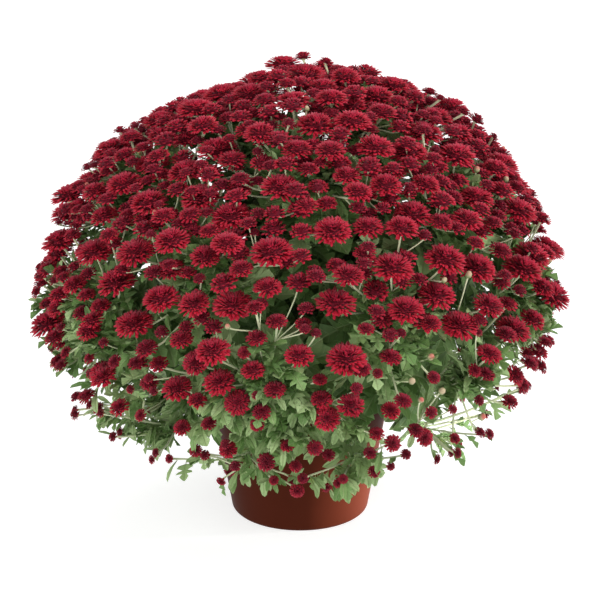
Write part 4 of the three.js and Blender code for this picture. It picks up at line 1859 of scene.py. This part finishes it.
@dataclass
class LeafyStem:
    """A stem from the soil to its spray, with its leaves up and round it.

    Attributes:
        stem: The stem's course.
        garden: The shapes and finishes.
        draws: The random numbers to use.
        dome: The dome that it grows in.
        radius: Its radius at its root and its end.
        age: How pale it is there.
        root_depth: How far it goes on under the soil.
        steps: How many steps its curve has.
        sides: How many sides it has.
        near: How far to both sides of a leaf the stem's own way is read.
        leaves: How many leaves a flowering stem has, and where they start along it.
        shoot_leaves: The same for a low shoot.
        leaves_to: Where they end along either.
        leaf_up: How much leaves turn along the stem, at the least and the most.
        leaf_loose: How much they turn at random along and upwards.
        leaf_face: How much their upper sides look up rather than straight outwards.
        leaf_sag: How much those of a low shoot hang.
        leaf_length: The least and greatest length of a leaf.
        broad: How much longer the leaves of a flowering stem are.
        small: How much shorter those of a low shoot are.
        spoons: The share of spoon-shaped leaves on a low shoot.
        shade: How much painted shade darkens leaves by the soil, and how much more on a flowering stem, deep
            in the plant.
        pot_room: The height and radius that its leaves' tips keep over and round the pot's rim.
    """

    stem: Stem
    garden: Garden
    draws: Draws
    dome: Dome = Dome()
    radius: Pair = (3.2 * MM, 2.2 * MM)
    age: Pair = (0.0, 0.45)
    root_depth: float = 26 * MM
    steps: int = 15
    sides: int = 7
    near: float = 0.02
    leaves: tuple[int, float] = (76, 0.4)
    shoot_leaves: tuple[int, float] = (160, 0.5)
    leaves_to: float = 0.99
    leaf_up: Pair = (0.1, 0.6)
    leaf_loose: Pair = (0.25, 0.2)
    leaf_face: float = 0.6
    leaf_sag: float = 0.4
    leaf_length: Pair = (36 * MM, 54 * MM)
    broad: float = 1.22
    small: float = 0.7
    spoons: float = 0.5
    shade: Pair = (0.7, 0.35)
    pot_room: Pair = (158 * MM, 112 * MM)

    def build(self) -> None:
        """Builds the stem's pieces."""
        wood = Bundle()
        path = [self.stem.at(k / self.steps) for k in range(self.steps + 1)]
        path.insert(0, self.stem.at(0) - UP * self.root_depth)
        points, shape = tube(np.array(path), np.linspace(*self.radius, len(path)), self.sides)
        age = np.repeat(np.linspace(*self.age, len(path)), self.sides)
        wood.add(points, shape, growth_values(age, 0.0, 0.5))
        number = f"{self.stem.number:02d}"
        node = f"leafy_stem_{number}"
        garden = self.garden
        place(wood.piece(f"stem_{number}", garden.stalk_finish, STALK_ROUNDING), Slot.LEAF, node)
        leaves = self.foliage().bundle.piece(f"stem_leaves_{number}", garden.leaf_finish, LEAF_ROUNDING)
        place(leaves, Slot.LEAF, node)

    def foliage(self) -> Foliage:
        """Grows the leaves round the stem, by the golden angle.

        Returns:
            The leaves.
        """
        foliage = Foliage(self.garden, self.draws)
        draws, hangs = self.draws, self.stem.hangs
        count, first = self.shoot_leaves if hangs else self.leaves
        loose, loose_up = self.leaf_loose
        height, radius = self.pot_room
        for i in range(count):
            share = first + (self.leaves_to - first) * (i + 0.5) / count
            root = self.stem.at(share)
            ahead, behind = self.stem.at(min(share + self.near, 1)), self.stem.at(share - self.near)
            tangent = (ahead - behind).normalized()
            side = tangent.orthogonal()
            side.rotate(Matrix.Rotation(i * GOLDEN_ANGLE, 3, tangent))
            along = side + tangent * draws.between(*self.leaf_up) + draws.vector() * loose
            if hangs:
                along = along - UP * self.leaf_sag
            upward = self.dome.direction(root) + UP * self.leaf_face + draws.vector() * loose_up
            length = draws.between(*self.leaf_length)
            tip = root + along.normalized() * length
            if tip.z < height and tip.xy.length < radius:
                continue
            kind = LeafKind.SMALL if i % 2 else LeafKind.LOBED
            if hangs and draws.chance(self.spoons):
                kind = LeafKind.SPOON
            length *= self.small if hangs else self.broad
            # Painted shade: leaves near the soil and on the flowering stems, deep in the plant, are darker.
            by_soil, on_stem = self.shade
            shade = by_soil * (1 - share) + (0 if hangs else on_stem)
            foliage.leaf(root, along, upward, length, kind, shade)
        return foliage


# ---- The pot and its soil ----


@dataclass
class Pot:
    """The tapered pot: a smooth shell with a collar round its rim and drain holes in its foot.

    Attributes:
        finish: Its finish.
        height: Its height.
        foot_radius: The wall's radius at the foot.
        rim_radius: The wall's radius at the rim.
        corner: How far the foot's rounding reaches in and up.
        collar_height: How far down the collar goes.
        collar_step: How far it stands out.
        collar_foot: Its lower edge, as shares of that step outwards and upwards.
        lip: The rounding of the rim's outer edge, as steps inwards and downwards.
        inner_lip: The same of its inner edge.
        wall: The wall's thickness.
        floor: The foot's thickness.
        holes: How many drain holes there are.
        hole_radius: Their radius.
        hole_circle: The radius of the circle that they stand on.
        hole_sides: How many sides a hole has.
        sides: How many sides the shell has.
        rounding: The angle up to which its edges look round.
    """

    finish: PotFinish = PotFinish()
    height: float = 150 * MM
    foot_radius: float = 75 * MM
    rim_radius: float = 101 * MM
    corner: Pair = (3.5 * MM, 5 * MM)
    collar_height: float = 20 * MM
    collar_step: float = 3 * MM
    collar_foot: tuple[Pair, ...] = ((0, 0), (0.7, 0.2), (1, 0.6))
    lip: tuple[Pair, ...] = ((0, 1.2 * MM), (0.4 * MM, 0.3 * MM), (1.2 * MM, 0))
    inner_lip: tuple[Pair, ...] = ((0.6 * MM, 0), (0, 0.6 * MM))
    wall: float = 2.6 * MM
    floor: float = 3.2 * MM
    holes: int = 6
    hole_radius: float = 5 * MM
    hole_circle: float = 54 * MM
    hole_sides: int = 24
    sides: int = 128
    rounding: float = radians(40)

    def wall_radius(self, height: float) -> float:
        """The outer radius of the wall at a height."""
        return self.foot_radius + (self.rim_radius - self.foot_radius) * height / self.height

    def stations(self) -> list[Pair]:
        """Sets out the shell, from the foot over the rim to the inner floor.

        Returns:
            Its outline as radius and height.
        """
        inset, rise = self.corner
        start = self.height - self.collar_height
        outside = self.rim_radius + self.collar_step
        inside = self.rim_radius - self.wall
        foot = [(1 - sin(k * pi / 8), 1 - cos(k * pi / 8)) for k in range(1, 5)]
        return [
            *((self.wall_radius(rise) - inset * inward, rise * up) for inward, up in foot),
            *(
                (self.wall_radius(start) + out * self.collar_step, start + up * self.collar_step)
                for out, up in self.collar_foot
            ),
            *((outside - inward, self.height - down) for inward, down in self.lip),
            *((inside + outward, self.height - down) for outward, down in self.inner_lip),
            (self.wall_radius(self.floor) - self.wall, self.floor),
        ]

    def build(self) -> None:
        """Builds the pot by drawing up its foot, station by station."""
        radius = self.foot_radius - self.corner[0]
        bench = Bench(
            bpy.ops.mesh.primitive_circle_add,
            vertices=self.sides, radius=radius, fill_type="NGON", location=(0, 0, 0),
        )
        bench.pick_all()
        height = 0.0
        for wide, high in self.stations():
            bench.extrude(0, 0, high - height)
            bench.resize(wide / radius, wide / radius, 1, (0, 0, high))
            radius, height = wide, high
        pot = bench.turn_outwards().done()
        self.drill(pot)
        smooth(pot, self.rounding)
        pot.name = "pot_shell"
        pot.data.materials.append(self.finish.material())
        place(pot, Slot.POT, "pot")

    def drill(self, pot: bpy.types.Object) -> None:
        """Cuts the drain holes through the floor.

        Args:
            pot: The pot's shell.
        """
        for i in range(self.holes):
            middle = upright(self.hole_circle, (i + 0.5) / self.holes * 2 * pi, self.floor / 2)
            bpy.ops.object.select_all(action="DESELECT")
            bpy.ops.mesh.primitive_cylinder_add(
                vertices=self.hole_sides, radius=self.hole_radius, depth=self.floor * 3, location=middle
            )
            plug = bpy.context.active_object
            bpy.context.view_layer.objects.active = pot
            bpy.ops.object.modifier_add(type="BOOLEAN")
            cut = pot.modifiers[-1]
            cut.object, cut.operation, cut.solver = plug, "DIFFERENCE", "EXACT"
            bpy.ops.object.modifier_apply(modifier=cut.name)
            bpy.data.objects.remove(plug)


@dataclass
class PottingMix:
    """The soil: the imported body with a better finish, and crumbs of peat and bark on top.

    Attributes:
        finish: Its finish.
        crumbs: How many crumbs there are.
        crumb_size: The least and greatest size of a crumb.
        crumb_sides: How long, wide and high a crumb is for its size.
        crumb_top: How much its upper half differs from that.
        top: The soil's height at the wall.
        mound: How much higher it is in the middle.
        spread: How far from the middle the crumbs lie.
    """

    finish: SoilFinish = SoilFinish()
    crumbs: int = 420
    crumb_size: Pair = (1.0 * MM, 3.4 * MM)
    crumb_sides: Triple = (1, 1.3, 0.7)
    crumb_top: Triple = (0.8, 1.2, 0.8)
    top: float = 132 * MM
    mound: float = 5 * MM
    spread: float = 93 * MM

    def build(self, draws: Draws) -> None:
        """Dresses the soil and strews the crumbs.

        Args:
            draws: The random numbers to use.
        """
        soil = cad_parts["potting_mix"]
        material = self.finish.material()
        soil.data.materials.clear()
        soil.data.materials.append(material)
        bench = Bench(bpy.ops.mesh.primitive_ico_sphere_add, subdivisions=1, radius=1.0)
        bench.pick(lambda co: co.z > 0).resize(*self.crumb_top, (0, 0, 0))
        crumb = bench.shape()
        bundle = Bundle()
        for _ in range(self.crumbs):
            share = sqrt(draws.between(0, 1))
            height = self.top + self.mound * (1 - share**3)
            middle = upright(share * self.spread, draws.between(0, 2 * pi), height)
            axes = frame_of(draws.vector(), UP + draws.vector())
            sides = draws.between(*self.crumb_size) * np.array(self.crumb_sides)
            points = np.array(middle) + (crumb.points * sides) @ axes
            bundle.add(points[None], crumb, growth_values(0.0, 0.0, 0.0))
        place(bundle.piece("soil_crumbs", material), Slot.SOIL)


# ---- The studio ----


@dataclass(frozen=True)
class Lamp:
    """A soft light.

    Attributes:
        name: Its name.
        eye: Where it stands.
        size: How wide it is.
        power: Its power.
        aim: The point that it looks at, or None for the view's.
        spread: The angle of its cone, or None for a light that has none.
    """

    name: str
    eye: Triple
    size: float
    power: float
    aim: Triple | None = None
    spread: float | None = None


LAMPS = (
    Lamp("key", (2.1, -0.7, 2.0), 1.2, 60),
    Lamp("fill", (-2.2, -1.6, 1.9), 1.8, 44),
    Lamp("front", (-0.4, -3.4, 0.6), 1.6, 20),
    Lamp("back", (0.4, 2.2, 2.4), 1.6, 40),
    Lamp("pot_light", (1.9, 0.15, 0.06), 0.06, 920, (0.0, -0.03, 0.035), radians(5)),
)


@dataclass(frozen=True)
class Studio:
    """The floor, the lights and the camera.

    Attributes:
        view: The camera's view.
        sensor: The width of the camera's sensor, in millimetres.
        floor_radius: The floor's radius.
        floor_colour: Its colour.
        floor_glow: How bright it is by itself.
        sky_glow: How bright the air around is.
    """

    view: View = View()
    sensor: float = 36.0
    floor_radius: float = 14.0
    floor_colour: Colour = (0.5, 0.5, 0.5)
    floor_glow: float = 0.72
    sky_glow: float = 0.45

    def build(self) -> None:
        """Builds the studio."""
        self.add_floor()
        self.add_camera()
        for lamp in LAMPS:
            self.add_lamp(lamp)
        world = bpy.data.worlds.new("studio")
        bpy.context.scene.world = world
        world.use_nodes = True
        sky = world.node_tree.nodes["Background"].inputs
        sky["Color"].default_value = (1, 1, 1, 1)
        sky["Strength"].default_value = self.sky_glow
        bpy.context.scene.view_settings.view_transform = "Standard"

    def add_floor(self) -> None:
        """Adds the wide pale floor."""
        bpy.ops.object.select_all(action="DESELECT")
        bpy.ops.mesh.primitive_circle_add(
            vertices=96, radius=self.floor_radius, fill_type="NGON", location=(0, 0, 0)
        )
        floor = bpy.context.active_object
        floor.name = "studio_floor"
        paint = Paint("pale_floor")
        paint.set(Base_Color=self.floor_colour, Roughness=0.8, Specular_IOR_Level=0.1)
        paint.set(Emission_Color=(1.0, 1.0, 1.0), Emission_Strength=self.floor_glow)
        floor.data.materials.append(paint.material)

    def add_lamp(self, lamp: Lamp) -> None:
        """Adds a light.

        Args:
            lamp: The light.
        """
        data = bpy.data.lights.new(lamp.name, "SPOT" if lamp.spread else "AREA")
        data.energy = lamp.power
        if lamp.spread:
            data.spot_size, data.spot_blend, data.shadow_soft_size = lamp.spread, 0.6, lamp.size
        else:
            data.size = lamp.size
        light = bpy.data.objects.new(lamp.name, data)
        light.location = lamp.eye
        way = Vector(lamp.aim or self.view.aim) - Vector(lamp.eye)
        light.rotation_euler = way.to_track_quat("-Z", "Y").to_euler()
        bpy.context.scene.collection.objects.link(light)

    def add_camera(self) -> None:
        """Adds the camera, with its lens set for a square picture."""
        data = bpy.data.cameras.new("camera")
        data.sensor_fit = "HORIZONTAL"
        data.sensor_width = self.sensor
        data.lens = self.sensor * self.view.focal / self.view.width
        camera = bpy.data.objects.new("camera", data)
        camera.location = self.view.eye
        camera.rotation_euler = self.view.turn().to_euler()
        bpy.context.scene.collection.objects.link(camera)
        bpy.context.scene.camera = camera


def main() -> None:
    """Builds the plant in its pot, piece by piece."""
    logging.basicConfig(level=logging.INFO, format="%(message)s")
    Studio().build()
    Pot().build()
    PottingMix().build(Draws(Seed.CRUMBS))
    stems = StemPlan().all()
    plan = BloomPlan(stems)
    plan.run(Draws(Seed.MAIN_BLOOMS), MAIN_PASSES, plan.spacing)
    plan.settle_heads()
    plan.add_strays(STRAYS)
    plan.add_front(FRONT_HEADS, View())
    plan.run(Draws(Seed.UNDER_BLOOMS), UNDER_PASSES, UNDER_SPACING)
    plan.run(Draws(Seed.SMALL_BLOOMS), SMALL_PASSES, SMALL_SPACING)
    plan.lower_shoulder()
    garden = Garden(
        petals=(STRAP_PETAL.model(), KITE_PETAL.model()),
        calyx=CALYX.model(),
        bud=BUD.model(),
        leaves={kind: shape.model() for kind, shape in LEAF_SHAPES.items()},
        petal_finish=PetalFinish().material(),
        leaf_finish=LeafFinish().material(),
        stalk_finish=StalkFinish().material(),
        bud_finish=BudFinish().material(),
    )
    for stem in stems:
        own = [bloom for bloom in plan.blooms if bloom.stem == stem.number - 1]
        LeafyStem(stem, garden, Draws(Seed.STEM, stem.number)).build()
        FlowerSpray(stem, own, garden, Draws(Seed.SPRAY, stem.number)).build()
    counts = {stage.value: sum(bloom.stage is stage for bloom in plan.blooms) for stage in Stage}
    log.info("flower heads: %s", counts)


if __name__ == "__main__":
    main()
